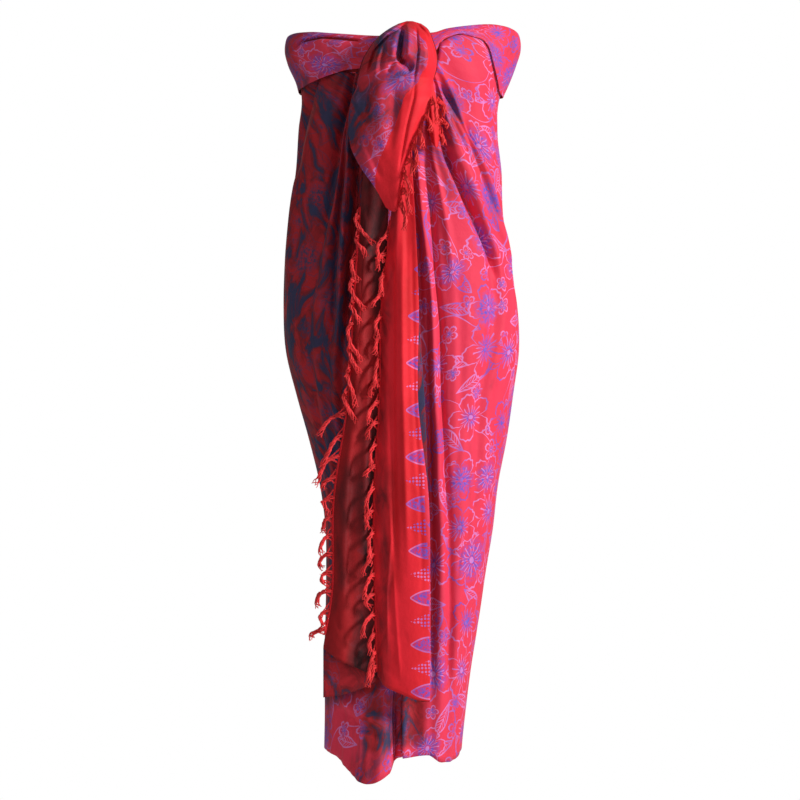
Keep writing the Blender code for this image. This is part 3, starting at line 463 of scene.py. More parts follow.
# The figure's ring at each height: its left and right in x, and its front and back in y.
Ring = namedtuple("Ring", "z left right front back")
RINGS = (
    Ring(60, -152, 164, -106, 90),
    Ring(40, -163, 172, -112, 93),
    Ring(22, -166, 173, -116, 94),
    Ring(0, -162, 167, -118, 93),
    Ring(-30, -151, 157, -117, 90),
    Ring(-52, -148, 149, -115, 88),
    Ring(-97, -153, 145, -112, 86),
    Ring(-165, -158, 152, -110, 85),
    Ring(-232, -167, 154, -110, 94),
    Ring(-300, -174, 164, -111, 107),
    Ring(-367, -176, 176, -112, 116),
    Ring(-435, -172, 179, -112, 117),
    Ring(-502, -156, 171, -110, 112),
    Ring(-570, -137, 161, -107, 104),
    Ring(-637, -121, 148, -104, 97),
    Ring(-705, -112, 140, -101, 92),
    Ring(-772, -111, 129, -98, 89),
    Ring(-840, -112, 119, -96, 87),
    Ring(-907, -114, 107, -95, 85),
    Ring(-975, -113, 98, -96, 84),
    Ring(-1042, -114, 91, -97, 84),
    Ring(-1090, -115, 89, -98, 84),
)

# Each row is one fold line: where it starts, its x at X_HEIGHTS, how far it stands out of the
# ring at the start, at RISE_HEIGHTS and at the hem, and the height of its hem.
X_HEIGHTS = (-45, -135, -210, -285, -360, -510, -660, -810, -960, -1045)
RISE_HEIGHTS = (-135, -360, -660, -930)
Fold = namedtuple("Fold", "start x rise hem")
AT_SIDE = (SIDE,) * 10
LEVEL = (0,) * 6
UNDER_LAP = (-5, -5, -5, -5, -6, -6)
FRONT_LEFT = (
    Fold((SIDE, -20), AT_SIDE, LEVEL, -1038),
    Fold((141, -20), (144,) + AT_SIDE[1:], LEVEL, -1038),
    Fold((124, -20), (133, 154, *AT_SIDE[2:5], 152, 117, 108, 106, 111), (-6, -4, 0, 0, 0, 0), -1040),
    Fold((111, -20), (121, 148, 162, 171, 173, 148, 114, 104, 101, 106), (3, 3, 0, 0, 1, 1), -1042),
    Fold((85, -20), (97, 139, 156, 166, 168, 143, 110, 99, 96, 100), (8, 8, 1, 0, 2, 2), -1044),
    Fold((76, -20), (85, 118, 135, 150, 154, 136, 106, 94, 90, 94), (3, 1, 0, 1, 1, 1), -1047),
    Fold((69, -20), (73, 92, 105, 121, 136, 127, 101, 88, 84, 87), (-4, -6, -3, -1, 0, 2), -1052),
    Fold((64, -20), (69, 86, 96, 108, 118, 117, 96, 82, 76, 78), (4, 8, 5, 1, 3, 6), -1060),
    Fold((60, -20), (66, 82, 89, 96, 100, 107, 91, 76, 69, 70), (3, 1, -2, -1, 1, 8), -1067),
    Fold((56, -20), (62, 76, 81, 85, 90, 97, 86, 70, 61, 62), (4, 7, 6, 1, 3, 12), -1074),
    Fold((52, -20), (58, 69, 67, 73, 78, 86, 80, 64, 54, 53), (1, -4, -4, 0, 3, 19), -1081),
    Fold((45, -20), (50, 58, 57, 61, 64, 72, 69, 54, 43, 42), (1, 0, 0, 0, 3, 22), -1084),
    Fold((31, -20), (38, 45, 43, 46, 49, 54, 51, 39, 30, 29), (0, 0, 0, 0, 3, 25), -1080),
    Fold((15, -20), (22, 30, 27, 28, 31, 33, 30, 22, 16, 14), (0, 0, 0, 0, 4, 17), -1068),
    Fold((-3, -20), (5, 15, 12, 12, 13, 13, 11, 7, 7, 7), (-2, -3, -3, -3, -8, -9), -1051),
    Fold((-22, -20), (-16, 0, -3, -3, -3, -4, -4, -4, -2, -2), UNDER_LAP, -1047),
    Fold((-45, -20), (-42, -18, -19, -19, -20, -20, -19, -18, -17, -17), UNDER_LAP, -1047),
)
FRONT_RIGHT = (
    Fold((36, -36), (34, 6, 6, 8, 9, 9, 6, 5, 3, 4), (2, 2, 2, 2, 2, 2), -1048),
    Fold((40, -34), (39, 15, 22, 30, 33, 39, 45, 46, 45, 42), (2, 0, -1, 0, 1, 2), -1044),
    Fold((42, -33), (42, 22, 30, 39, 45, 51, 57, 60, 58, 54), (3, 6, 8, 8, 7, 6), -1054),
    Fold((45, -31), (45, 36, 43, 52, 58, 64, 72, 75, 70, 64), (3, 3, 3, 4, 5, 5), -1055),
    Fold((47, -30), (48, 48, 63, 78, 86, 84, 88, 85, 76, 69), (4, 8, 8, 7, 6, 6), -1055),
    Fold((49, -27), (52, 58, 85, 118, 124, 102, 101, 93, 81, 73), (4, 10, 7, 4, 4, 4), -1054),
    Fold((51, -24), (55, 64, 97, 131, 143, 117, 111, 99, 85, 76), (3, -4, -2, 2, 3, 3), -1053),
    Fold((52, -21), (60, 79, 111, 141, 156, 130, 119, 104, 89, 79), (5, 10, 4, 3, 3, 3), -1052),
    Fold((53, -16), (66, 93, 121, 150, 164, 141, 126, 108, 92, 82), (4, 5, 2, 2, 2, 2), -1051),
    Fold((54, -10), (74, 108, 136, 157, 169, 150, 132, 112, 95, 85), (5, 12, 4, 2, 2, 2), -1048),
    Fold((56, 0), (84, 117, 142, 160, 172, 157, 137, 115, 98, 88), (3, 0, 1, 1, 1, 1), -1043),
    Fold((59, 24), (111, 129, 147, SIDE, SIDE, 162, 141, 118, 100, SIDE), (4, 3, 1, 1, 1, 1), -1039),
    Fold((87, 37), (126, 137, 150, SIDE, SIDE, 166, 144, 121, SIDE, SIDE), (2.5, 2, 1, 0, 0, 0), -1036),
    Fold((123, 36), (138, 143, *AT_SIDE[2:]), (2.5, 1, 0, 0, 0, 0), -1034),
    Fold((145, 26), (145, *AT_SIDE[1:]), (2.5, 1, 0, 0, 0, 0), -1032),
    Fold((157, 4), (148, *AT_SIDE[1:]), (2.5, 0, 0, 0, 0, 0), -1031),
    Fold((SIDE, -20), AT_SIDE, LEVEL, -1030),
)
# Soft folds of the back: the angle from the front at the top and the hem, half width and rises.
BackFold = namedtuple("BackFold", "top hem width rise_top rise_hip rise_hem")
BACK_FOLDS = (
    BackFold(118, 112, 10, 2, 1, 6),
    BackFold(136, 130, 11, -2, 0, -5),
    BackFold(152, 148, 10, 3, 1, 7),
    BackFold(172, 168, 12, -2, -1, -6),
    BackFold(192, 190, 11, 3, 2, 7),
    BackFold(211, 210, 11, -2, -1, -5),
    BackFold(232, 230, 11, 2, 1, 6),
)
# Creases of the front and the back: points of a line as x and z, half width, and depth, in
# millimetres. A depth over 0 is a ridge. A sharp one has a peaked section.
Crease = namedtuple("Crease", "line width depth sharp", defaults=(False,))
FRONT_CREASES = (
    Crease(((-132, -42), (-144, -87), (-154, -135), (-158, -180)), 6, -6),
    Crease(((-67, -30), (-75, -60), (-88, -105), (-98, -165), (-105, -218), (-117, -270)), 5, -8),
    Crease(((-56, -125), (-64, -165), (-67, -232), (-73, -285), (-78, -360), (-84, -440)), 4, -7),
    Crease(((-82, -150), (-90, -210), (-97, -307), (-99, -360), (-104, -450)), 4, -6),
    Crease(((-64, -60), (-74, -120), (-80, -200), (-87, -290), (-92, -400)), 6, 6),
    Crease(((-96, -50), (-112, -110), (-124, -190), (-130, -270)), 8, 5),
    Crease(((-52, -60), (-60, -140), (-62, -220)), 4, 5),
    Crease(((-92, -120), (-118, -134), (-142, -152)), 2.2, 1.6, True),
    Crease(((-142, -152), (-138, -166), (-134, -180)), 2.2, 1.3, True),
    Crease(((-75, -277), (-88, -281), (-97, -289)), 2.2, 1.5, True),
    Crease(((-75, -297), (-88, -301), (-98, -310)), 2.2, 1.6, True),
    Crease(((-76, -314), (-88, -320), (-99, -331)), 2.2, 1.7, True),
    Crease(((-77, -331), (-88, -339), (-100, -352)), 2.2, 1.5, True),
    Crease(((-84, -404), (-95, -407), (-105, -404)), 2.4, -1.6, True),
    Crease(((-104, -466), (-126, -478), (-150, -500)), 2.6, 1.7, True),
    Crease(((-102, -484), (-124, -497), (-146, -517)), 2.4, -1.7, True),
    Crease(((-100, -508), (-122, -519), (-142, -530)), 2.4, 1.5, True),
    Crease(((-118, -250), (-124, -310), (-121, -352)), 7, -2.2),
    Crease(((-150, -300), (-140, -380), (-147, -450)), 12, 2),
    Crease(((-120, -380), (-125, -440), (-120, -500)), 10, -2),
    Crease(((50, -24), (78, -65), (104, -114), (128, -174), (153, -248)), 4, -8),
    Crease(((56, -118), (78, -164), (104, -212), (135, -285), (150, -335)), 4.5, -11),
    Crease(((62, -70), (84, -118), (108, -170), (140, -250)), 4.5, 6),
    Crease(((44, -130), (58, -190), (72, -260), (80, -340)), 4, 4),
    Crease(((40, -280), (43, -450), (47, -620), (51, -800), (49, -940)), 3.5, -8),
    Crease(((66, -560), (74, -700), (76, -840), (72, -960)), 5, -6),
    Crease(((88, -300), (92, -420), (92, -540), (84, -640)), 7, -3.5),
    Crease(((11, -149), (24, -224), (29, -315), (34, -420)), 4, -8),
    Crease(((39, -150), (48, -225), (53, -315), (62, -400), (64, -510), (73, -690)), 3.6, -8),
    Crease(((92, -412), (110, -420), (135, -434), (157, -445)), 1.8, -1.7, True),
    Crease(((117, -640), (108, -680), (97, -720), (91, -750), (87, -775)), 2.2, -3.2, True),
    Crease(((128, -560), (120, -640), (106, -730)), 14, 2.5),
    Crease(((110, -520), (104, -600), (96, -680)), 12, -2),
    Crease(((62, -615), (70, -622), (82, -618)), 2.2, -1.6, True),
    Crease(((76, -796), (88, -860), (84, -960)), 10, 2),
    Crease(((108, -800), (98, -880), (90, -980)), 9, -2),
    Crease(((-97, -953), (-78, -968), (-54, -986), (-25, -1002)), 6, 6),
    Crease(((-95, -976), (-70, -994), (-40, -1012), (-22, -1018)), 6, -6),
    Crease(((-13, -960), (-11, -1010), (-9, -1060)), 5, -12),
    Crease(((24, -945), (22, -1000), (18, -1052)), 13, -9),
    Crease(((140, -230), (158, -262), (170, -310)), 6, 2),
    Crease(((128, -350), (148, -372), (168, -382)), 5, 1.4),
    Crease(((100, -360), (128, -392), (160, -410)), 6, -1.2),
)
BACK_CREASES = (
    Crease(((-120, -60), (-95, -120), (-88, -200)), 9, 3.52),
    Crease(((-60, -55), (-48, -110), (-50, -190)), 8, -3.2),
    Crease(((10, -55), (16, -120), (30, -180)), 9, 3.2),
    Crease(((88, -60), (80, -130), (96, -200)), 8, -3.52),
    Crease(((-105, -300), (-60, -322), (-10, -330)), 7, 2.56),
    Crease(((110, -310), (70, -335), (20, -342)), 6, 2.4),
    Crease(((-90, -480), (-50, -500), (-15, -498)), 7, -2.88),
    Crease(((95, -500), (62, -520), (30, -516)), 6, 2.88),
    Crease(((-70, -620), (-55, -760), (-62, -900)), 10, 3.84),
    Crease(((40, -600), (48, -720), (40, -880)), 11, -3.84),
    Crease(((92, -640), (84, -780), (78, -930)), 9, 3.52),
    Crease(((-30, -690), (-22, -820), (-28, -960)), 9, -3.2),
)


def smooth_between(at, places, values):
    """A smooth curve through values given at rising places, read at any number of points."""
    places = np.asarray(places, float)
    values = np.asarray(values, float)
    at = np.clip(at, places[0], places[-1])
    slopes = np.gradient(values, places)
    index = np.clip(np.searchsorted(places, at) - 1, 0, len(places) - 2)
    span = places[index + 1] - places[index]
    t = (at - places[index]) / span
    start, end = values[index], values[index + 1]
    return (
        (2 * t**3 - 3 * t**2 + 1) * start
        + (t**3 - 2 * t**2 + t) * span * slopes[index]
        + (3 * t**2 - 2 * t**3) * end
        + (t**3 - t**2) * span * slopes[index + 1]
    )


def ring_at(z):
    """Centre and half sizes of the figure's ring at this height."""
    rows = RINGS[::-1]
    heights = [ring.z for ring in rows]
    left, right, front, back = (
        smooth_between(z, heights, [getattr(ring, side) for ring in rows])
        for side in ("left", "right", "front", "back")
    )
    return (left + right) / 2, (front + back) / 2, (right - left) / 2, (back - front) / 2


def body_point(angle, z, out):
    """A point this far outside the ring. The angle in degrees starts at the front, towards +X."""
    cx, cy, a, b = ring_at(z)
    sin, cos = np.sin(np.radians(angle)), np.cos(np.radians(angle))
    radius = (np.abs(sin / a) ** ROUNDNESS + np.abs(cos / b) ** ROUNDNESS) ** (-1 / ROUNDNESS)
    x, y = radius * sin, -radius * cos
    nx = np.sign(x) * np.abs(x / a) ** (ROUNDNESS - 1) / a
    ny = np.sign(y) * np.abs(y / b) ** (ROUNDNESS - 1) / b
    length = np.hypot(nx, ny)
    return np.stack(
        [cx + x + out * nx / length, cy + y + out * ny / length, z + 0 * x], axis=-1
    )


def angle_at_x(x, z):
    """The angle at which the front of the ring has this x, or past a side, that side's angle."""
    cx, _, a, b = ring_at(z)
    across = (x - cx) / a
    depth = b * (1 - np.minimum(np.abs(across), 1) ** ROUNDNESS) ** (1 / ROUNDNESS)
    angle = np.degrees(np.arctan2(across * a, depth))
    return np.where(np.abs(across) >= 1, np.sign(across) * SIDE_ANGLE, angle)


def eased(values):
    """Values at fold lines, and FOLD_STEPS - 1 more between each two, level at every line."""
    values = np.asarray(values, float)
    at = np.linspace(0, len(values) - 1, (len(values) - 1) * FOLD_STEPS + 1)
    index = np.minimum(at.astype(int), len(values) - 2)
    t = (1 - np.cos(np.pi * (at - index))) / 2
    return values[index] * (1 - t)[:, None] + values[index + 1] * t[:, None]


def softened(values, reach):
    """A weighted average along the second axis, so that lines bend with no kinks."""
    weights = np.hanning(2 * reach + 3)[1:-1]
    padded = np.pad(values, ((0, 0), (reach, reach)), mode="reflect", reflect_type="odd")
    length = values.shape[1]
    return sum(w * padded[:, i : i + length] for i, w in enumerate(weights / weights.sum()))


def spread(angles):
    """Keeps the lines that reach a side in order, a least step apart."""
    for j in range(len(angles) - 2, -1, -1):
        pushed = np.minimum(angles[j], angles[j + 1] - LEAST_ANGLE_STEP)
        angles[j] = np.where(angles[j] > 0, pushed, angles[j])
    for j in range(1, len(angles)):
        pushed = np.maximum(angles[j], angles[j - 1] + LEAST_ANGLE_STEP)
        angles[j] = np.where(angles[j] < 0, pushed, angles[j])
    return angles


def step_up(values, low, high):
    """0 below low, 1 above high, and smooth between."""
    t = np.clip((values - low) / (high - low), 0, 1)
    return t * t * (3 - 2 * t)


def creased(x, z, creases):
    """How far the creases lift each point out of the cloth. Each fades to a tenth over the last
    fifth of its line, at both ends."""
    lift = np.zeros_like(x)
    for crease in creases:
        best = np.full_like(x, 1e9)
        place = np.zeros_like(x)
        parts = len(crease.line) - 1
        for k, ((x0, z0), (x1, z1)) in enumerate(zip(crease.line, crease.line[1:])):
            run = ((x1 - x0) ** 2 + (z1 - z0) ** 2) or 1
            t = np.clip(((x - x0) * (x1 - x0) + (z - z0) * (z1 - z0)) / run, 0, 1)
            away = np.hypot(x - x0 - t * (x1 - x0), z - z0 - t * (z1 - z0))
            nearer = away < best
            best = np.where(nearer, away, best)
            place = np.where(nearer, (k + t) / parts, place)
        fade = 0.9 * step_up(np.minimum(place, 1 - place), 0, 0.2) + 0.1
        shape = np.exp(-((best / crease.width) ** (1 if crease.sharp else 2)))
        lift += crease.depth * fade * shape
    return lift


def front_columns(folds, side):
    """Angle, rise and height of every point of one front stretch, columns by rows."""
    drop = np.linspace(0, 1, WRAP_ROWS) ** ROW_SPREAD
    angles, rises, heights = [], [], []
    for fold in folds:
        start_x, start_z = fold.start
        z = start_z + (fold.hem - start_z) * drop
        levels = [level for level in X_HEIGHTS if level < start_z]
        places = [start_z, *levels][::-1]
        shown = side * np.array([start_x, *fold.x[len(X_HEIGHTS) - len(levels) :]][::-1], float)
        angles.append(np.interp(z, places, angle_at_x(shown, np.array(places, float))))
        rise_places = [start_z, *RISE_HEIGHTS, fold.hem][::-1]
        rises.append(smooth_between(z, rise_places, fold.rise[::-1]))
        heights.append(z)
    angles = softened(spread(np.array(angles)), SMOOTHED_ROWS)
    at = np.linspace(0, len(folds) - 1, (len(folds) - 1) * FOLD_STEPS + 1)
    lines = np.arange(len(folds))
    angle = np.array([np.interp(at, lines, angles[:, i]) for i in range(WRAP_ROWS)]).T
    height = np.array(
        [smooth_between(at, lines, [z[i] for z in heights]) for i in range(WRAP_ROWS)]
    ).T
    return angle, eased(rises), height


def back_columns():
    """The same for the back stretch, whose soft folds fade out at both sides."""
    angle = np.linspace(SIDE_ANGLE, 360 - SIDE_ANGLE, BACK_COLUMNS)[:, None]
    drop = (np.linspace(0, 1, WRAP_ROWS) ** ROW_SPREAD)[None, :]
    hem = np.interp(angle, (SIDE_ANGLE, 180, 360 - SIDE_ANGLE), BACK_HEM)
    z = WRAP_TOP + (hem - WRAP_TOP) * drop
    rise = np.zeros_like(z)
    for fold in BACK_FOLDS:
        middle = fold.top + (fold.hem - fold.top) * drop
        height = np.interp(drop, (0, HIPS, 1), (fold.rise_top, fold.rise_hip, fold.rise_hem))
        rise += height * np.exp(-(((angle - middle) / fold.width) ** 2))
    rise *= np.clip(np.minimum(angle - SIDE_ANGLE, 360 - SIDE_ANGLE - angle) / SIDE_FADE, 0, 1)
    return angle + 0 * drop, rise, z


def along_rows(grid):
    """How far each point is from its row's first one, along the cloth, in millimetres."""
    steps = np.linalg.norm(np.diff(grid, axis=1), axis=2)
    return np.concatenate([np.zeros((len(grid), 1)), np.cumsum(steps, axis=1)], axis=1)


def finished_mesh(obj):
    """A plain mesh of the object as its modifiers make it."""
    graph = bpy.context.evaluated_depsgraph_get()
    return bpy.data.meshes.new_from_object(
        obj.evaluated_get(graph), preserve_all_data_layers=True, depsgraph=graph
    )


def cloth_piece(name, grid, across, up, dye, face=None, thick=CLOTH_THICK):
    """A shell of cloth from a grid of points in millimetres, rows downwards and columns to the
    right as seen from outside. across and up are its flat cut; dye is how dark it is dyed, with
    painted shade added on some pieces."""
    rows, columns = grid.shape[:2]
    index = np.arange(rows * columns).reshape(rows, columns)
    corners = np.stack(
        [index[1:, :-1], index[1:, 1:], index[:-1, 1:], index[:-1, :-1]], axis=-1
    ).reshape(-1, 4)
    mesh = bpy.data.meshes.new(name)
    mesh.from_pydata((grid * MM).reshape(-1, 3).tolist(), [], corners.tolist())
    cut = mesh.uv_layers.new(name="cut")
    flat = np.stack([across, up + 0 * across], axis=-1).reshape(-1, 2) * MM
    cut.data.foreach_set("uv", flat[corners.reshape(-1)].astype(np.float32).reshape(-1))
    # The dye attribute holds real dye and, on some pieces, painted shade.
    shade = mesh.attributes.new("dye", "FLOAT", "POINT")
    shade.data.foreach_set("value", (dye + 0 * across).astype(np.float32).reshape(-1))
    mesh.materials.append(face or cloth_face)
    mesh.materials.append(cloth_reverse if face is None else cloth_face)
    mesh.shade_smooth()
    sheet = bpy.data.objects.new(name, mesh)
    bpy.context.scene.collection.objects.link(sheet)
    wall = sheet.modifiers.new("thickness", "SOLIDIFY")
    wall.thickness = thick * MM
    wall.offset = -1
    wall.material_offset = 1
    finished = finished_mesh(sheet)
    sheet.modifiers.clear()
    sheet.data = finished
    return sheet


def front_and_back(points):
    """1 and 0 on the front half, 0 and 1 on the back half, and less of both near the sides."""
    return step_up(-points[..., 1], 0, SIDE_EASE), step_up(points[..., 1], 0, SIDE_EASE)


# Areas darkened on the front: how dark, between which x each starts and ends, and between which
# ways down. The first is painted shade at the hem, under the falls; the second darkens the right
# front below the knot.
DarkArea = namedtuple("DarkArea", "dye left right top bottom")
DARK_AREAS = (
    DarkArea(0.66, (-76, -40), (34, 52), (930, 960), (1020, 1050)),
    DarkArea(0.42, (30, 50), (75, 115), (30, 60), (150, 260)),
)

right_part = front_columns(FRONT_RIGHT, 1)
back_part = back_columns()
left_part = front_columns(FRONT_LEFT, -1)
left_turned = (left_part[0] + 360, left_part[1], left_part[2])
angle, rise, height = (
    np.concatenate([right, back[1:-1], left]).T
    for right, back, left in zip(right_part, back_part, left_turned)
)
rise = np.maximum(FOLD_GAIN * rise, DEEPEST_FOLD) + CLEARANCE
first = body_point(angle, height, rise)
on_front, on_back = front_and_back(first)
rise = rise + creased(first[..., 0], height, FRONT_CREASES) * on_front
rise = rise + creased(first[..., 0], height, BACK_CREASES) * on_back
wrap_grid = body_point(angle, height, rise)
wrap_across = along_rows(wrap_grid)
wrap_across -= wrap_across[:, ALIGNED_COLUMN : ALIGNED_COLUMN + 1] - ALIGNED_AT
to_left = np.where(angle > 180, 360 - angle, -angle)
wrap_dye_and_shade = step_up(to_left, *DYE_STARTS) * (1 - DYE_LOST_BEHIND * step_up(to_left, *DYE_PALES))
wrap_dye_and_shade *= 1 - DYE_LOST_AT_HEM * step_up(-height, *DYE_ENDS)
dark_areas = sum(
    blot.dye
    * step_up(first[..., 0], *blot.left)
    * (1 - step_up(first[..., 0], *blot.right))
    * step_up(-height, *blot.top)
    * (1 - step_up(-height, *blot.bottom))
    for blot in DARK_AREAS
)
# The painted shade at the hem goes into the dye attribute together with the dark end's real dye.
wrap_dye_and_shade = np.maximum(wrap_dye_and_shade, dark_areas * on_front)
wrap = cloth_piece("wound_cloth", wrap_grid, wrap_across, height, wrap_dye_and_shade)
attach(wrap, "root")
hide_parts("back", "front_left", "front_right")

# The top band: the upper edge of the cloth, turned down over itself by 80 to 90 mm at the back
# and the left. It ends behind the knot, and on the right the front of the cloth laps over it.
Band = namedtuple("Band", "angle top lower inner width low_width")
BAND = (
    Band(1.5, 35, -5, -19.7, 3.5, 3.5),
    Band(-20, 35, -5, -19.7, 3.5, 3.5),
    Band(-30, 36, -14, -19.7, 4.5, 4.5),
    Band(-40, 38, -16, -19.7, 5, 10),
    Band(-53, 41, -25, -19.7, 6, 13),
    Band(-62, 44, -32, -19.7, 7, 11),
    Band(-74, 45, -39, -19.7, 8, 6),
    Band(-94, 43, -44, -19.7, 8, 3.4),
    Band(-130, 41, -46, -19.7, 8, 8),
    Band(-180, 40, -45, -19.7, 7, 7),
    Band(-230, 41, -47, -19.7, 8, 8),
    Band(-266, 46, -50, -19.7, 9, 6),
    Band(-276, 50, -51, -7.7, 9, 6),
    Band(-286, 54, -46, 5, 9, 6),
    Band(-295, 56, -18, 27, 8, 6.5),
    Band(-303, 55, 30, 36.8, 6, 6),
    Band(-318, 50, 40, 37.8, 4, 4),
    Band(-328, 46, 31, 28, 4, 4),
    Band(-331, 43, 28, 25, 3.5, 3.5),
    Band(-333, 41, 10, -9, 3.5, 3.5),
    Band(-342, 39, 0, -19.7, 3.5, 3.5),
    Band(-357, 38, -5, -19.7, 3.5, 3.5),
)
BAND_COLUMNS = 260
ROLL_STEPS = 8
LEG_STEPS = 48
# How far the turned-down part swells between its roll and its lower edge.
LEG_SWELL = 1.2
# Where the band's stretch lies on the flat cut, and the column along which its width is measured.
BAND_CUT_START, BAND_CUT_END, WIDTH_COLUMN = 1220, 420, 60
SMOOTHED_COLUMNS = 3
# The band is dyed darker towards the left, over these ways left of the middle.
BAND_DYE, BAND_DYED = 0.4, (20, 90)
BAND_CREASES = (
    Crease(((-46, 25), (-90, 31), (-120, 34), (-150, 30), (-164, 18)), 1.9, -10),
    Crease(((-55, 12), (-96, 8), (-138, -8)), 6, 3),
    Crease(((-52, 4), (-92, -8), (-132, -24)), 4, -3),
    Crease(((-150, 24), (-158, 4), (-154, -22)), 5, -3),
    Crease(((60, 33), (105, -6), (120, -27)), 3, 1.2),
)
BAND_BACK_CREASES = (
    Crease(((-130, 30), (-95, 4), (-60, -8)), 8, 1.5),
    Crease(((-40, 32), (0, 12), (48, 4)), 9, -1.5),
    Crease(((66, -28), (100, -8), (136, 20)), 8, 1.6),
    Crease(((-90, -34), (-60, -22), (-20, -30)), 6, -1.3),
)

band_turns = [-row.angle for row in BAND]
band_turn = np.linspace(band_turns[0], band_turns[-1], BAND_COLUMNS)
band_sizes = {
    key: softened(
        np.interp(band_turn, band_turns, [getattr(row, key) for row in BAND])[None, :],
        SMOOTHED_COLUMNS,
    )[0]
    for key in Band._fields[1:]
}
top, lower, inner = (band_sizes[key] for key in ("top", "lower", "inner"))
width, low_width = band_sizes["width"], band_sizes["low_width"]
half = width / 2
offsets = [0 * top] * LEG_STEPS
heights = [inner + (top - half - inner) * k / LEG_STEPS for k in range(LEG_STEPS)]
for step in range(ROLL_STEPS + 1):
    bend = math.pi * step / ROLL_STEPS
    offsets.append(half - half * math.cos(bend))
    heights.append(top - half + half * math.sin(bend))
for step in range(1, LEG_STEPS + 1):
    share = step / LEG_STEPS
    offsets.append(width + (low_width - width) * share + LEG_SWELL * math.sin(math.pi * share))
    heights.append(top - half + (lower - top + half) * share)
offsets, heights = np.array(offsets)[:, ::-1] + CLEARANCE, np.array(heights)[:, ::-1]
band_angle = -band_turn[None, ::-1] + 0 * offsets
band_first = body_point(band_angle, heights, offsets)
outer_share = (np.arange(len(offsets)) > LEG_STEPS + ROLL_STEPS / 2)[:, None]
on_front, on_back = front_and_back(band_first)
lift = creased(band_first[..., 0], heights, BAND_CREASES) * on_front
lift += creased(band_first[..., 0], heights, BAND_BACK_CREASES) * on_back
band_grid = body_point(band_angle, heights, offsets + lift * outer_share)
section = along_rows(band_grid[:, WIDTH_COLUMN][None])[0][:, None]
band_dye = BAND_DYE * step_up(-band_grid[..., 0], *BAND_DYED)
band = cloth_piece(
    "top_band_cloth", band_grid, along_rows(band_grid) + BAND_CUT_START,
    BAND_CUT_END - section, band_dye,
)
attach(band, "root")
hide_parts("top_band")

# The knot and the long tail: the two upper corners of the cloth are tied at the front. The cloth
# is gathered over the tie in deep soft folds, and one corner hangs below it as a pointed tail,
# whose right edge is a fringed end of the cloth.
KnotLevel = namedtuple("KnotLevel", "z left right bulge")
KNOT = (
    KnotLevel(-30, -63, 50, 40),
    KnotLevel(-15, -59, 54, 45),
    KnotLevel(0, -54, 55, 48),
    KnotLevel(14, -46, 53, 47),
    KnotLevel(27, -37, 49, 41),
    KnotLevel(38, -26, 45, 32),
    KnotLevel(47, -13, 39, 21),
    KnotLevel(53, -2, 31, 12),
)
KNOT_STANDOFF = 7.6
KNOT_ROWS = 72
KNOT_COLUMNS = 145
# How square the knot's level section is, and the most that a gather takes from its bulge.
KNOT_SQUARENESS, DEEPEST_GATHER = 2.6, 0.6
# The row that closes the knot's crown: the first row drawn in, and set behind it.
CROWN_SHARES, CROWN_SHIFT = (0.3, 0.25, 1), (10, -94, 3)
# The knot's gathers: lines along which the cloth is drawn in, at a depth under 0, or swells.
GATHERS = (
    Crease(((6, 52), (2, 25), (-1, 3), (4, -14)), 3.8, -22),
    Crease(((4, -2), (10, -12), (20, -20)), 6, -12),
    Crease(((24, 50), (27, 10), (24, -20), (20, -34)), 2, -5),
    Crease(((14, 46), (13, 16), (11, -6)), 5.5, 7),
    Crease(((22, 56), (40, 36), (50, 14), (53, -6)), 2.2, -8),
    Crease(((9, 52), (-19, 30), (-38, 8), (-50, -30)), 2.6, -13),
    Crease(((-4, 44), (-10, 18), (-12, -10)), 6, 4),
    Crease(((-14, 38), (-24, 10), (-30, -24)), 3, -3),
    Crease(((-28, 16), (-35, -6), (-38, -30)), 4, 5),
    Crease(((36, 30), (40, 6), (36, -26)), 6, 5),
    Crease(((4, 0), (-10, -10), (-20, -26)), 3, -4),
)
# The tail: the x and y of each of its fold lines at a few heights, and then their lower ends.
TAIL = (
    (-30.3, ((-62, -139), (-36, -158), (-6, -164), (21, -160), (46, -144))),
    (-60, ((-72, -141), (-39, -160), (-5, -167), (24, -168), (45, -155))),
    (-105, ((-77, -143), (-48, -160), (-18, -167), (14, -172), (28, -162))),
    (-135, ((-73, -146), (-50, -160), (-24, -166), (6, -171), (16, -162))),
    (-165, ((-58, -149), (-42, -158), (-22, -163), (-1, -168), (5, -161))),
    (-195, ((-37, -153), (-28, -157), (-18, -160), (-4, -164), (3, -158))),
    (-228, ((-19, -155), (-15, -157), (-11, -159), (-7, -160), (-4, -158))),
)
TAIL_ENDS = (-224, -228, -230, -230, -226)
TAIL_CREASES = (
    Crease(((23, -30), (21, -60), (10, -105), (4, -140), (-2, -175)), 2.5, -3),
    Crease(((-26, -30), (-30, -62), (-28, -110), (-18, -160)), 10, 3),
    Crease(((-36, -34), (-46, -60), (-50, -92)), 3.5, -4),
    Crease(((-54, -30), (-64, -58), (-66, -90)), 5, 2.5),
    Crease(((-72, -62), (-62, -84), (-44, -100)), 4, -2.5),
    Crease(((-10, -40), (-8, -80), (-12, -120)), 8, -2.5),
    Crease(((6, -60), (0, -100), (-8, -150)), 6, 2),
    Crease(((-56, -120), (-42, -150), (-26, -185)), 5, -2),
)
TAIL_ROWS = 96
# The tail hangs on from the knot's lowest row, and takes its own form over this many rows. Its
# creases start this many rows above that lowest one.
BLEND_ROWS, CREASED_ABOVE = 16, 4
# The border row doesn't show on the tied corner: the cut goes on past it beside the plain strip.
PLAIN_STRIP, BORDER_SKIPPED = 45, 36
# The corner's threads lean, so the flat cut climbs by this share to the right.
LEAN = 0.3
KNOT_BACK_CUT = 300
# Some dye all over, more past the plain strip, and more to the left.
TAIL_DYE, CORNER_DYE, LEFTWARD_DYE = 0.12, 0.36, 0.24


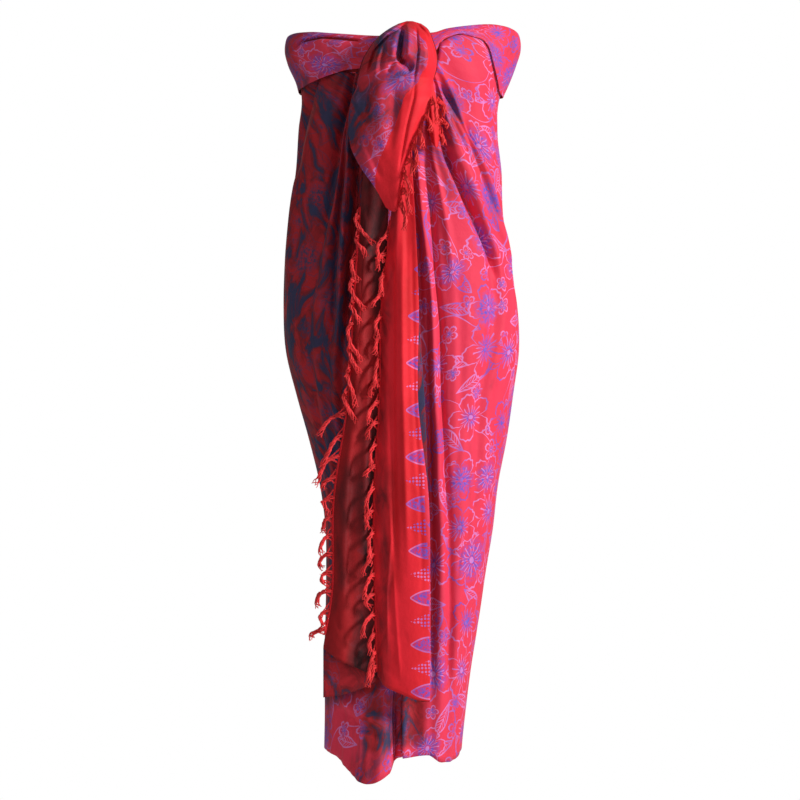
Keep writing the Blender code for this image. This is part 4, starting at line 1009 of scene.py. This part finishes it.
def panel_grid(levels, ends, rows, columns):
    """A hanging panel's points, from its fold lines at a few levels and their lower ends."""
    heights = [level[0] for level in levels][::-1]
    places = np.array([level[1] for level in levels], float)[::-1]
    lines = []
    for j, end in enumerate(ends):
        z = np.linspace(heights[-1], end, rows)
        x = smooth_between(z, heights, places[:, j, 0])
        y = smooth_between(z, heights, places[:, j, 1])
        lines.append(np.stack([x, y, z], axis=1))
    lines = np.stack(lines, axis=1)
    at = np.linspace(0, len(ends) - 1, columns)
    return np.array(
        [
            np.stack([smooth_between(at, range(len(ends)), row[:, k]) for k in range(3)], axis=1)
            for row in lines
        ]
    )


def level_normals(grid):
    """Level directions out of the sheet, towards the front where its columns run to the right."""
    along = np.gradient(grid, axis=1)
    normal = np.stack([along[..., 1], -along[..., 0], 0 * along[..., 0]], axis=-1)
    return normal / np.maximum(np.linalg.norm(normal, axis=-1, keepdims=True), 1e-9)


def pressed(grid, creases):
    """The grid with its creases pushed in and out."""
    return grid + level_normals(grid) * creased(grid[..., 0], grid[..., 2], creases)[..., None]


knot_z = np.linspace(KNOT[-1].z, KNOT[0].z, KNOT_ROWS)
knot_size = {
    key: smooth_between(knot_z, [row.z for row in KNOT], [getattr(row, key) for row in KNOT])
    for key in ("left", "right", "bulge")
}
knot_turn = np.linspace(0, math.pi, KNOT_COLUMNS)[None, :]
middle = ((knot_size["left"] + knot_size["right"]) / 2)[:, None]
half_width = ((knot_size["right"] - knot_size["left"]) / 2)[:, None]
bulge = knot_size["bulge"][:, None]
knot_x = middle - half_width * np.cos(knot_turn)
level_z = knot_z[:, None] + 0 * knot_x
resting = body_point(angle_at_x(knot_x, level_z), level_z, KNOT_STANDOFF)
swell = (1 - np.abs(np.cos(knot_turn)) ** KNOT_SQUARENESS) ** (1 / KNOT_SQUARENESS)
gathered = np.maximum(creased(knot_x, level_z, GATHERS), -DEEPEST_GATHER * bulge)
knot_y = resting[..., 1] - (bulge + gathered) * swell
knot_front = np.stack([knot_x, knot_y, level_z], axis=-1)
crown = knot_front[0] * CROWN_SHARES + CROWN_SHIFT
tail_grid = panel_grid(TAIL, TAIL_ENDS, TAIL_ROWS, KNOT_COLUMNS)
blend = step_up(np.arange(TAIL_ROWS), 0, BLEND_ROWS)[:, None, None]
hanging = knot_front[-1][None] + [0, 0, 1] * (tail_grid - tail_grid[:1])
tail_grid = hanging * (1 - blend) + tail_grid * blend
knot_and_tail = np.concatenate([crown[None], knot_front, tail_grid[1:]])
first_creased = KNOT_ROWS - CREASED_ABOVE
knot_and_tail[first_creased:] = pressed(knot_and_tail, TAIL_CREASES)[first_creased:]
tail_across = along_rows(knot_and_tail)
tail_across = tail_across[:, -1:] - tail_across
tail_across += BORDER_SKIPPED * (tail_across > PLAIN_STRIP)
tail_dye = TAIL_DYE + CORNER_DYE * step_up(tail_across, PLAIN_STRIP, 100)
tail_dye += LEFTWARD_DYE * step_up(-knot_and_tail[..., 0], 10, 60)
tail_up = knot_and_tail[..., 2] + LEAN * knot_and_tail[..., 0]
knot_cloth = cloth_piece("knot_and_tail", knot_and_tail, tail_across, tail_up, tail_dye)
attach(knot_cloth, "root")
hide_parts("knot", "front_tail")

# The back of the knot: the cloth that lies against the band behind the gathers.
knot_behind = resting[:, ::-1]
knot_back = cloth_piece(
    "knot_back", knot_behind, along_rows(knot_behind) + KNOT_BACK_CUT, level_z, 0.5
)
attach(knot_back, "root")

# The short tail: the tip of the other tied corner, which comes out under the knot on the right.
# It is the same rayon, with its plain strip and its fringe at the right, and the knot holds it.
SHORT_TAIL = (
    (-30.3, ((36, -134), (41, -138), (47, -134))),
    (-60, ((36, -136), (45, -141), (54, -135))),
    (-100, ((41, -134), (50, -139), (59, -133))),
    (-135, ((49, -133), (53, -136), (57, -132))),
)
SHORT_TAIL_ENDS = (-124, -133, -132)
SHORT_TAIL_CREASES = (
    Crease(((41, -32), (46, -70), (50, -120)), 3, 1.5),
    Crease(((37, -40), (40, -70), (45, -100)), 2.5, -1.5),
)
short_tail_grid = pressed(
    panel_grid(SHORT_TAIL, SHORT_TAIL_ENDS, rows=60, columns=26), SHORT_TAIL_CREASES
)
short_across = along_rows(short_tail_grid)
short_tail = cloth_piece(
    "short_tail_cloth", short_tail_grid, short_across[:, -1:] - short_across,
    short_tail_grid[..., 2], dye=0.0,
)
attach(short_tail, "root")
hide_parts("short_tail")

# The right fall: the fringed end of the cloth that hangs on top, with its face outwards. It is
# folded back at the right, and its fringed left edge has the plain strip and the border row.
RIGHT_FALL = (
    (-30.3, ((-6, -137), (2, -142), (10, -146), (18, -146), (28, -141), (20, -136), (26, -132))),
    (-135, ((-10, -134), (-4, -140), (4, -146), (12, -145), (18, -140), (8, -135), (14, -129))),
    (-210, ((-12, -133), (-8, -139), (-2, -145), (10, -141), (21, -143), (12, -135), (18, -128))),
    (-285, ((-18, -131), (-12, -138), (-5, -145), (10, -142), (25, -143), (14, -135), (22, -128))),
    (-360, ((-26, -129), (-18, -137), (-6, -146), (10, -146), (28, -142), (16, -135), (26, -128))),
    (-510, ((-30, -127), (-21, -136), (-6, -145), (10, -146), (27, -141), (16, -134), (37, -129))),
    (-660, ((-38, -124), (-26, -133), (-6, -142), (18, -144), (43, -139), (28, -131), (42, -127))),
    (-810, ((-36, -121), (-23, -130), (2, -138), (24, -140), (45, -135), (30, -128), (43, -123))),
    (-900, ((-34, -119), (-22, -128), (5, -136), (24, -138), (45, -133), (31, -126), (43, -121))),
)
RIGHT_FALL_ENDS = (-922, -938, -950, -957, -960, -960, -958)
RIGHT_FALL_CREASES = (
    Crease(((-11, -250), (-12, -420), (-12, -520), (-10, -660), (-6, -780)), 5, -5),
    Crease(((-15, -650), (-13, -720), (-19, -800), (-18, -890)), 1.8, 2.6, True),
    Crease(((-10, -760), (-5, -850), (1, -925)), 1.8, 2.4, True),
    Crease(((-34, -642), (-18, -646), (-2, -640)), 2.6, 1.5, True),
    Crease(((-24, -752), (-8, -760), (6, -756)), 2.6, -1.5, True),
    Crease(((4, -240), (3, -340), (4, -480), (8, -620), (12, -760)), 5, 4),
    Crease(((17, -240), (20, -380), (22, -520), (31, -680), (34, -830)), 3, -1.5),
    Crease(((-30, -905), (-16, -915), (0, -930), (20, -936)), 3, -1.2, True),
    Crease(((-14, -848), (0, -866), (14, -862)), 4, -1.2),
)
FALL_ROWS = 170
RIGHT_COLUMNS = 97
# The columns over which the cloth turns back under itself at the right, darkened there with
# painted shade.
TURNED_BACK, TURNED_SHADE = (68, 76), 0.75
# The plain strip is narrower than its cut by this much at the top, and by this much more below
# these two ways down.
STRIP_TRIM, LOW_TRIM, TRIM_STARTS = 6, 13, (480, 800)
# Painted shade beside the fringed edge, on the left half of the plain strip, which faces away
# from the key light.
EDGE_SHADE, EDGE_SHADED = 0.5, (4, 26)

right_fall_grid = pressed(
    panel_grid(RIGHT_FALL, RIGHT_FALL_ENDS, FALL_ROWS, RIGHT_COLUMNS), RIGHT_FALL_CREASES
)
right_across = along_rows(right_fall_grid)
right_across -= STRIP_TRIM + LOW_TRIM * step_up(-right_fall_grid[..., 2], *TRIM_STARTS)
# Painted shade, carried in the dye attribute: on the strip's left half and in the turned-back fold.
right_painted_shade = EDGE_SHADE * (1 - step_up(right_across, *EDGE_SHADED))
right_painted_shade += TURNED_SHADE * step_up(np.arange(RIGHT_COLUMNS), *TURNED_BACK)
right_fall = cloth_piece(
    "right_fall_cloth", right_fall_grid, right_across, right_fall_grid[..., 2], right_painted_shade
)
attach(right_fall, "root")
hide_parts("right_fall")

# The left fall: the other fringed end of the cloth, which hangs from the knot beside and under
# the right fall. Its duller reverse is outwards, so that the print shows only faintly.
LEFT_FALL = (
    (-30.3, ((-35, -140), (-27, -144), (-18, -139), (-9, -131), (-14, -127), (-22, -128))),
    (-135, ((-51, -134), (-42, -139), (-30, -134), (-16, -128), (-24, -124), (-36, -122))),
    (-210, ((-58, -132), (-50, -138), (-36, -132), (-17, -126), (-28, -122), (-44, -120))),
    (-285, ((-63, -130), (-54, -137), (-40, -129), (-20, -122.5), (-32, -119.5), (-53, -117))),
    (-360, ((-68, -128), (-58, -136), (-45, -127), (-24, -121), (-37, -118.5), (-60, -116))),
    (-510, ((-77, -124), (-66, -133), (-51, -125.5), (-29, -119), (-46, -116), (-72, -113))),
    (-660, ((-98, -119), (-80, -129), (-60, -123), (-35, -117), (-58, -112), (-90, -107))),
    (-810, ((-102, -115), (-83, -126), (-61, -119), (-36, -114), (-72, -108), (-104, -104))),
    (-880, ((-115, -112), (-88, -124), (-62, -117), (-36, -112), (-78, -106), (-115, -102))),
)
LEFT_FALL_ENDS = (-882, -901, -912, -930, -950, -956)
LEFT_FALL_CREASES = (
    Crease(((-56, -220), (-58, -340), (-62, -480)), 5, -4),
    Crease(((-48, -430), (-52, -600), (-56, -760)), 7, 5),
    Crease(((-66, -560), (-72, -700), (-76, -830)), 7, -4.5),
    Crease(((-100, -812), (-92, -850), (-72, -874), (-40, -884)), 2.6, -2, True),
    Crease(((-88, -640), (-66, -652), (-44, -646)), 3, 1.2, True),
    Crease(((-94, -760), (-74, -776), (-52, -770)), 3, 1.2),
    Crease(((-108, -862), (-82, -890), (-58, -900)), 2.4, 1.4, True),
)
LEFT_COLUMNS = 90
# Dye and painted shade on the left fall: some dye all over; more past its plain strip, partly
# dye blots and partly painted shade; and painted shadow at the top, under the knot and tail.
LEFT_DYE, STRIP_DYE_AND_SHADE, KNOT_SHADOW = 0.25, 0.6, 0.45
PAST_STRIP, UNDER_KNOT = (30, 70), (-400, -250)

left_fall_grid = pressed(
    panel_grid(LEFT_FALL, LEFT_FALL_ENDS, FALL_ROWS, LEFT_COLUMNS), LEFT_FALL_CREASES
)
left_across = along_rows(left_fall_grid)
left_dye_and_shade = LEFT_DYE + STRIP_DYE_AND_SHADE * step_up(left_across, *PAST_STRIP)
# Painted shadow at the top, under the knot and the tail.
left_dye_and_shade += KNOT_SHADOW * step_up(left_fall_grid[..., 2], *UNDER_KNOT)
left_fall = cloth_piece(
    "left_fall_cloth", left_fall_grid, left_across, left_fall_grid[..., 2], left_dye_and_shade,
    face=cloth_reverse,
)
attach(left_fall, "root")
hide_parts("left_fall")

# The fringe: at both ends of the cloth the long threads are bundled and twisted into tassels
# with frayed tips. Each bundle is rooted in the woven edge, and two thin strands run into it.
# The woven edge that the tassels hang from: its width, its thickness, how far it lies on the
# cloth, its gap to a tassel's root, and where it lies on the flat cut.
STRIP, STRIP_THICK, STRIP_OVERLAP, STRIP_GAP, STRIP_CUT = 3.5, 1.2, 0.4, 0.3, 8
# Two thin strands run into each tassel from this far above and below its root.
STRAND_SHIFTS = (11, -9)
# How uneven the tassels are: shares of their drop and reach, and how far each point of a bend
# strays from its place in x and z, less near the root.
DROP_SHARES, REACH_SHARES, STRAY = (0.7, 1.2), (0.5, 1.5), 5
STRAY_SHARES = ((0.3,), (0.8,), (1,), (1,))
# Each tassel's yarns, and where along it, as shares, its knot is tied and its fraying starts.
PLIES, KNOT_AT, FRAYED_FROM = 5, 0.66, 0.7
# How far along the knot swells the yarns and how much. At the tip, how much wider the bundle is
# and how thin its yarns are.
KNOT_REACH, KNOT_SWELL, FRAY_SPREAD, TIP_THIN = 0.09, 1.45, 2.6, 0.45
# How far loose yarns stray, in metres, in waves about 8 mm long.
LOOSE, LOOSE_WAVES = 0.0058, 130.0
# The bends of a tassel: how far each of four points is out from the edge, below the root and
# towards the front.
HANG = ((9, 3, 0), (16, 9, -2), (17, 18, -3), (13, 26, -3))
COMMA = ((9, 2, 0), (14, 8, 2), (13, 17, 3), (9, 24, 3))
LONG = ((9, 4, 2), (17, 13, 4), (22, 28, 4), (26, 42, 4))
OVER = ((6, 4, 7), (3, 12, 14), (-6, 26, 16), (-14, 42, 14))
LOOP = ((6, 5, 6), (6, 16, 13), (0, 34, 15), (-10, 54, 13))
DANGLE = ((6, 5, 6), (6, 15, 12), (2, 30, 14), (-3, 48, 13))
FORE = ((4, 4, 8), (8, 12, 16), (11, 28, 20), (9, 44, 20))
FORE_COMMA = ((5, 3, 7), (9, 9, 10), (11, 18, 10), (9, 26, 9))
SIDEWAYS = ((6, 3, 0), (9, 8, 1), (9, 14, 2), (7, 20, 2))
TIP = ((4, 4, 8), (7, 12, 10), (8, 24, 13), (6, 36, 16))
# Each fringed edge's bends, with the heights of the roots that have them.
LEFT_BENDS = (
    (OVER, (-235, -266, -362, -428)),
    (DANGLE, (-297,)),
    (LOOP, (-330, -395, -462, -498)),
    (LONG, (-530, -562, -594)),
    (HANG, (-625, -683, -739, -795, -852)),
    (COMMA, (-655, -711, -767, -824)),
)
RIGHT_BENDS = (
    (FORE, (-262, -322, -384, -448, -512, -576, -640, -708, -770, -830, -886)),
    (FORE_COMMA, (-292, -352, -416, -480, -544, -608, -675, -740, -800, -858, -908)),
)
TAIL_BENDS = ((TIP, (-64, -86, -108, -130, -152, -174, -196, -218)),)
SHORT_TAIL_BENDS = ((SIDEWAYS, (-66, -90, -114)),)

# The yarn is the cloth's own red-dyed rayon, twisted, with a soft dull surface of loose fibres.
yarn = bpy.data.materials.new("twisted rayon yarn")
yarn.use_nodes = True
yarn_shader = yarn.node_tree.nodes["Principled BSDF"]
place = put(yarn.node_tree, "ShaderNodeTexCoord", out="Object")
tone = put(
    yarn.node_tree, "ShaderNodeTexNoise", {"Vector": place, "Scale": 55.0, "Detail": 3.0}, "Fac"
)
tone = put(
    yarn.node_tree, "ShaderNodeMapRange", {"Value": tone, "From Min": 0.35, "From Max": 0.65}
)
tone = put(
    yarn.node_tree, "ShaderNodeMix",
    {MIX_SHARE: tone, MIX_FROM: linear("#F22830"), MIX_TO: linear("#C80E18")},
    MIXED, data_type="RGBA",
)
yarn.node_tree.links.new(tone, yarn_shader.inputs["Base Color"])
# Single fibres are too fine to show, so they are drawn 0.7 mm apart.
fibre = put(yarn.node_tree, "ShaderNodeTexNoise", {"Vector": place, "Scale": 1400.0}, "Fac")
fibre = put(
    yarn.node_tree, "ShaderNodeBump", {"Height": fibre, "Strength": 0.5, "Distance": 0.0006}
)
yarn.node_tree.links.new(fibre, yarn_shader.inputs["Normal"])
yarn_shader.inputs["Roughness"].default_value = 0.6
yarn_shader.inputs["Sheen Weight"].default_value = 0.06

# Yarns are wound round each path. They fray at the tip and swell at a knot, and a little noise,
# which differs from yarn to yarn, loosens the lay.
twist = bpy.data.node_groups.new("twisted tassels", "GeometryNodeTree")
twist.interface.new_socket("Geometry", in_out="INPUT", socket_type="NodeSocketGeometry")
for label, size in (("Bundle Radius", 0.0016), ("Yarn Radius", 0.0011), ("Lay Length", 0.014)):
    socket = twist.interface.new_socket(label, in_out="INPUT", socket_type="NodeSocketFloat")
    socket.default_value = size
twist.interface.new_socket("Geometry", in_out="OUTPUT", socket_type="NodeSocketGeometry")
source = put(twist, "NodeGroupInput").node.outputs
line = put(
    twist, "GeometryNodeResampleCurve", {"Curve": source["Geometry"], "Length": 0.0022},
    mode="LENGTH",
)
plies = put(
    twist, "GeometryNodeDuplicateElements", {"Geometry": line, "Amount": PLIES}, domain="SPLINE"
)
ply = plies.node.outputs["Duplicate Index"]
along = put(twist, "GeometryNodeSplineParameter", out="Length")
part = along.node.outputs["Factor"]
turns = put(twist, "ShaderNodeMath", [along, source["Lay Length"]], operation="DIVIDE")
turns = put(twist, "ShaderNodeMath", [ply, 1 / PLIES, turns], operation="MULTIPLY_ADD")
turns = put(twist, "ShaderNodeMath", [turns, 2 * math.pi], operation="MULTIPLY")
normal = put(twist, "GeometryNodeInputNormal")
ahead = put(twist, "GeometryNodeInputTangent")
beside = put(twist, "ShaderNodeVectorMath", [ahead, normal], operation="CROSS_PRODUCT")
cosine = put(twist, "ShaderNodeMath", [turns], operation="COSINE")
sine = put(twist, "ShaderNodeMath", [turns], operation="SINE")
across = put(twist, "ShaderNodeVectorMath", {"Vector": normal, "Scale": cosine}, operation="SCALE")
upward = put(twist, "ShaderNodeVectorMath", {"Vector": beside, "Scale": sine}, operation="SCALE")
around = put(twist, "ShaderNodeVectorMath", [across, upward], operation="ADD")
frayed = put(
    twist, "ShaderNodeMapRange",
    {"Value": part, "From Min": FRAYED_FROM, "From Max": 1.0, "To Min": 1.0,
     "To Max": FRAY_SPREAD},
)
reach = put(twist, "ShaderNodeMath", [source["Bundle Radius"], frayed], operation="MULTIPLY")
offset = put(twist, "ShaderNodeVectorMath", {"Vector": around, "Scale": reach}, operation="SCALE")
fuzz = put(
    twist, "ShaderNodeTexNoise", {"W": ply, "Scale": LOOSE_WAVES, "Detail": 1.0}, "Color",
    noise_dimensions="4D",
)
fuzz = put(twist, "ShaderNodeVectorMath", [fuzz, (0.5, 0.5, 0.5)], operation="SUBTRACT")
fuzz = put(twist, "ShaderNodeVectorMath", {"Vector": fuzz, "Scale": LOOSE}, operation="SCALE")
offset = put(twist, "ShaderNodeVectorMath", [offset, fuzz], operation="ADD")
wound = put(twist, "GeometryNodeSetPosition", {"Geometry": plies, "Offset": offset})
near_knot = put(twist, "ShaderNodeMath", [part, KNOT_AT], operation="SUBTRACT")
near_knot = put(twist, "ShaderNodeMath", [near_knot], operation="ABSOLUTE")
swollen = put(
    twist, "ShaderNodeMapRange",
    {"Value": near_knot, "From Max": KNOT_REACH, "To Min": KNOT_SWELL, "To Max": 1.0},
)
slim = put(
    twist, "ShaderNodeMapRange",
    {"Value": part, "From Min": FRAYED_FROM, "From Max": 1.0, "To Min": 1.0, "To Max": TIP_THIN},
)
thickness = put(twist, "ShaderNodeMath", [swollen, slim], operation="MULTIPLY")
wound = put(twist, "GeometryNodeSetCurveRadius", {"Curve": wound, "Radius": thickness})
ring = put(
    twist, "GeometryNodeCurvePrimitiveCircle",
    {"Resolution": 5, "Radius": source["Yarn Radius"]}, mode="RADIUS",
)
sizes = put(twist, "GeometryNodeInputRadius")
tubes = put(
    twist, "GeometryNodeCurveToMesh",
    {"Curve": wound, "Profile Curve": ring, "Scale": sizes, "Fill Caps": True},
)
tubes = put(twist, "GeometryNodeSetShadeSmooth", {"Geometry": tubes})
tubes = put(twist, "GeometryNodeRealizeInstances", {"Geometry": tubes})
tubes = put(twist, "GeometryNodeSetMaterial", {"Geometry": tubes, "Material": yarn})
twist.links.new(tubes, twist.nodes.new("NodeGroupOutput").inputs["Geometry"])


def twisted(name, paths, bundle, yarn_radius, lay):
    """Twisted yarns along these paths, which are in millimetres, as one plain mesh."""
    curve = bpy.data.curves.new(name, "CURVE")
    curve.dimensions = "3D"
    for path in paths:
        spline = curve.splines.new("NURBS")
        spline.points.add(len(path) - 1)
        for point, at in zip(spline.points, path):
            point.co = (*(at * MM), 1)
        spline.use_endpoint_u = True
        spline.order_u = 4
        spline.resolution_u = 6
    obj = bpy.data.objects.new(name, curve)
    bpy.context.scene.collection.objects.link(obj)
    modifier = obj.modifiers.new("twist", "NODES")
    modifier.node_group = twist
    sizes = {"Bundle Radius": bundle, "Yarn Radius": yarn_radius, "Lay Length": lay}
    for item in twist.interface.items_tree:
        if item.in_out == "INPUT" and item.name in sizes:
            modifier[item.identifier] = sizes[item.name] * MM
    mesh = finished_mesh(obj)
    bpy.data.objects.remove(obj)
    result = bpy.data.objects.new(name, mesh)
    bpy.context.scene.collection.objects.link(result)
    return result


def fringe(name, grid, side, bends, span, node):
    """The tassels of one fringed edge, the strands that run into them and the edge's strip.
    side is -1 at a left edge and 1 at a right one, and span is the heights of its two ends."""
    column = 0 if side < 0 else grid.shape[1] - 1
    away = grid[:, column] - grid[:, column - side]
    away[:, 2] = 0
    away /= np.linalg.norm(away, axis=1, keepdims=True)
    edge, forward = grid[:, column], level_normals(grid)[:, column]
    rows = [i for i, z in enumerate(edge[:, 2]) if span[1] <= z <= span[0]]

    def at_height(values, z):
        return np.array([np.interp(z, edge[::-1, 2], values[::-1, k]) for k in range(3)])

    tassels, strands = [], []
    chance = np.random.default_rng(7)
    for bend, roots in bends:
        for root in roots:
            start = at_height(edge, root) + at_height(away, root) * (STRIP_GAP + STRIP / 2)
            long, wide = chance.uniform(*zip(DROP_SHARES, REACH_SHARES))
            curl = chance.uniform(-STRAY, STRAY, (len(bend), 2)) * STRAY_SHARES
            stops = [
                start + np.array([side * out * wide + x, -forth, -drop * long + z])
                for (out, drop, forth), (x, z) in zip(bend, curl)
            ]
            tassels.append([start, *stops])
            for shift in STRAND_SHIFTS:
                above = max(min(root + shift, span[0]), span[1])
                begin = at_height(edge, above) + at_height(away, above) * STRIP
                strands.append([begin, (begin + stops[0]) / 2, stops[0], stops[1]])
    drawn_out = twisted(name, tassels, bundle=1.8, yarn_radius=1.15, lay=36)
    thin = twisted(f"{name}_strands", strands, bundle=0.5, yarn_radius=0.55, lay=9)
    covered = edge[rows] + (forward[rows] - away[rows]) * STRIP_OVERLAP
    strip = np.stack([covered, edge[rows] + away[rows] * STRIP], axis=1)
    if side < 0:
        strip = strip[:, ::-1]
    across = along_rows(strip) + STRIP_CUT
    woven = cloth_piece(
        f"{name}_edge", strip, across, strip[..., 2], dye=0.0, thick=STRIP_THICK
    )
    for piece in (drawn_out, thin, woven):
        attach(piece, "root")
    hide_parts(node)
    return [drawn_out, thin, woven]


left_fringe = fringe(
    "left_fringe", left_fall_grid, -1, LEFT_BENDS, (-220, -866), "left_fall_fringe"
)
right_fringe = fringe(
    "right_fringe", right_fall_grid, -1, RIGHT_BENDS, (-240, -918), "right_fall_fringe"
)
tail_fringe = fringe(
    "tail_fringe", knot_and_tail[KNOT_ROWS + 1 :], 1, TAIL_BENDS, (-58, -224), "front_tail_fringe"
)
short_fringe = fringe(
    "short_tail_fringe_yarns", short_tail_grid, 1, SHORT_TAIL_BENDS, (-58, -124),
    "short_tail_fringe",
)

# The studio: a white painted floor and an even white surround, with a strong soft light from
# the right and two weak ones, from the front and the left.
FLOOR_Z, FLOOR_REACH = -1.4, 1.6
plaster = bpy.data.materials.new("white painted plaster")
plaster.use_nodes = True
plaster.node_tree.nodes["Principled BSDF"].inputs["Base Color"].default_value = linear("#F6F6F6")
plaster.node_tree.nodes["Principled BSDF"].inputs["Roughness"].default_value = 0.9
floor_mesh = bpy.data.meshes.new("floor")
floor_mesh.from_pydata(
    [(x * FLOOR_REACH, y * FLOOR_REACH, FLOOR_Z) for x, y in ((-1, -1), (1, -1), (1, 1), (-1, 1))],
    [], [(0, 1, 2, 3)],
)
floor_mesh.materials.append(plaster)
floor = bpy.data.objects.new("floor", floor_mesh)
bpy.context.scene.collection.objects.link(floor)

world = bpy.data.worlds.new("studio")
bpy.context.scene.world = world
world.use_nodes = True
sky = world.node_tree
background = sky.nodes["Background"]
seen = put(sky, "ShaderNodeLightPath", out="Is Camera Ray")
strength = put(sky, "ShaderNodeMapRange", {"Value": seen, "To Min": 0.22, "To Max": 1.0})
background.inputs["Color"].default_value = (1, 1, 1, 1)
sky.links.new(strength, background.inputs["Strength"])

# Each light: where it is and where it points, in metres, its size and its power in watts.
LIGHTS = (
    ("key", (2.8, -1.6, 0.8), (0.05, 0, -0.5), 0.7, 128),
    ("front fill", (0.4, -3.4, 0.1), (0, 0, -0.5), 1.6, 7),
    ("left fill", (-2.2, -1.8, 1.0), (0, 0, -0.3), 1.2, 9),
)
for label, spot, target, size, power in LIGHTS:
    lamp = bpy.data.lights.new(label, "AREA")
    lamp.size = size
    lamp.energy = power
    light = bpy.data.objects.new(label, lamp)
    light.location = spot
    aim = np.array(target) - np.array(spot)
    light.rotation_euler = (
        math.acos(-aim[2] / np.linalg.norm(aim)), 0, math.atan2(aim[0], -aim[1]) + math.pi
    )
    bpy.context.scene.collection.objects.link(light)

lens = bpy.data.cameras.new("camera")
camera = bpy.data.objects.new("camera", lens)
lens.lens = 180
lens.sensor_width = 36
camera.location = (0, -6.1, -0.51)
camera.rotation_euler = (math.pi / 2, 0, 0)
bpy.context.scene.collection.objects.link(camera)
bpy.context.scene.camera = camera
bpy.context.scene.view_settings.view_transform = "Standard"
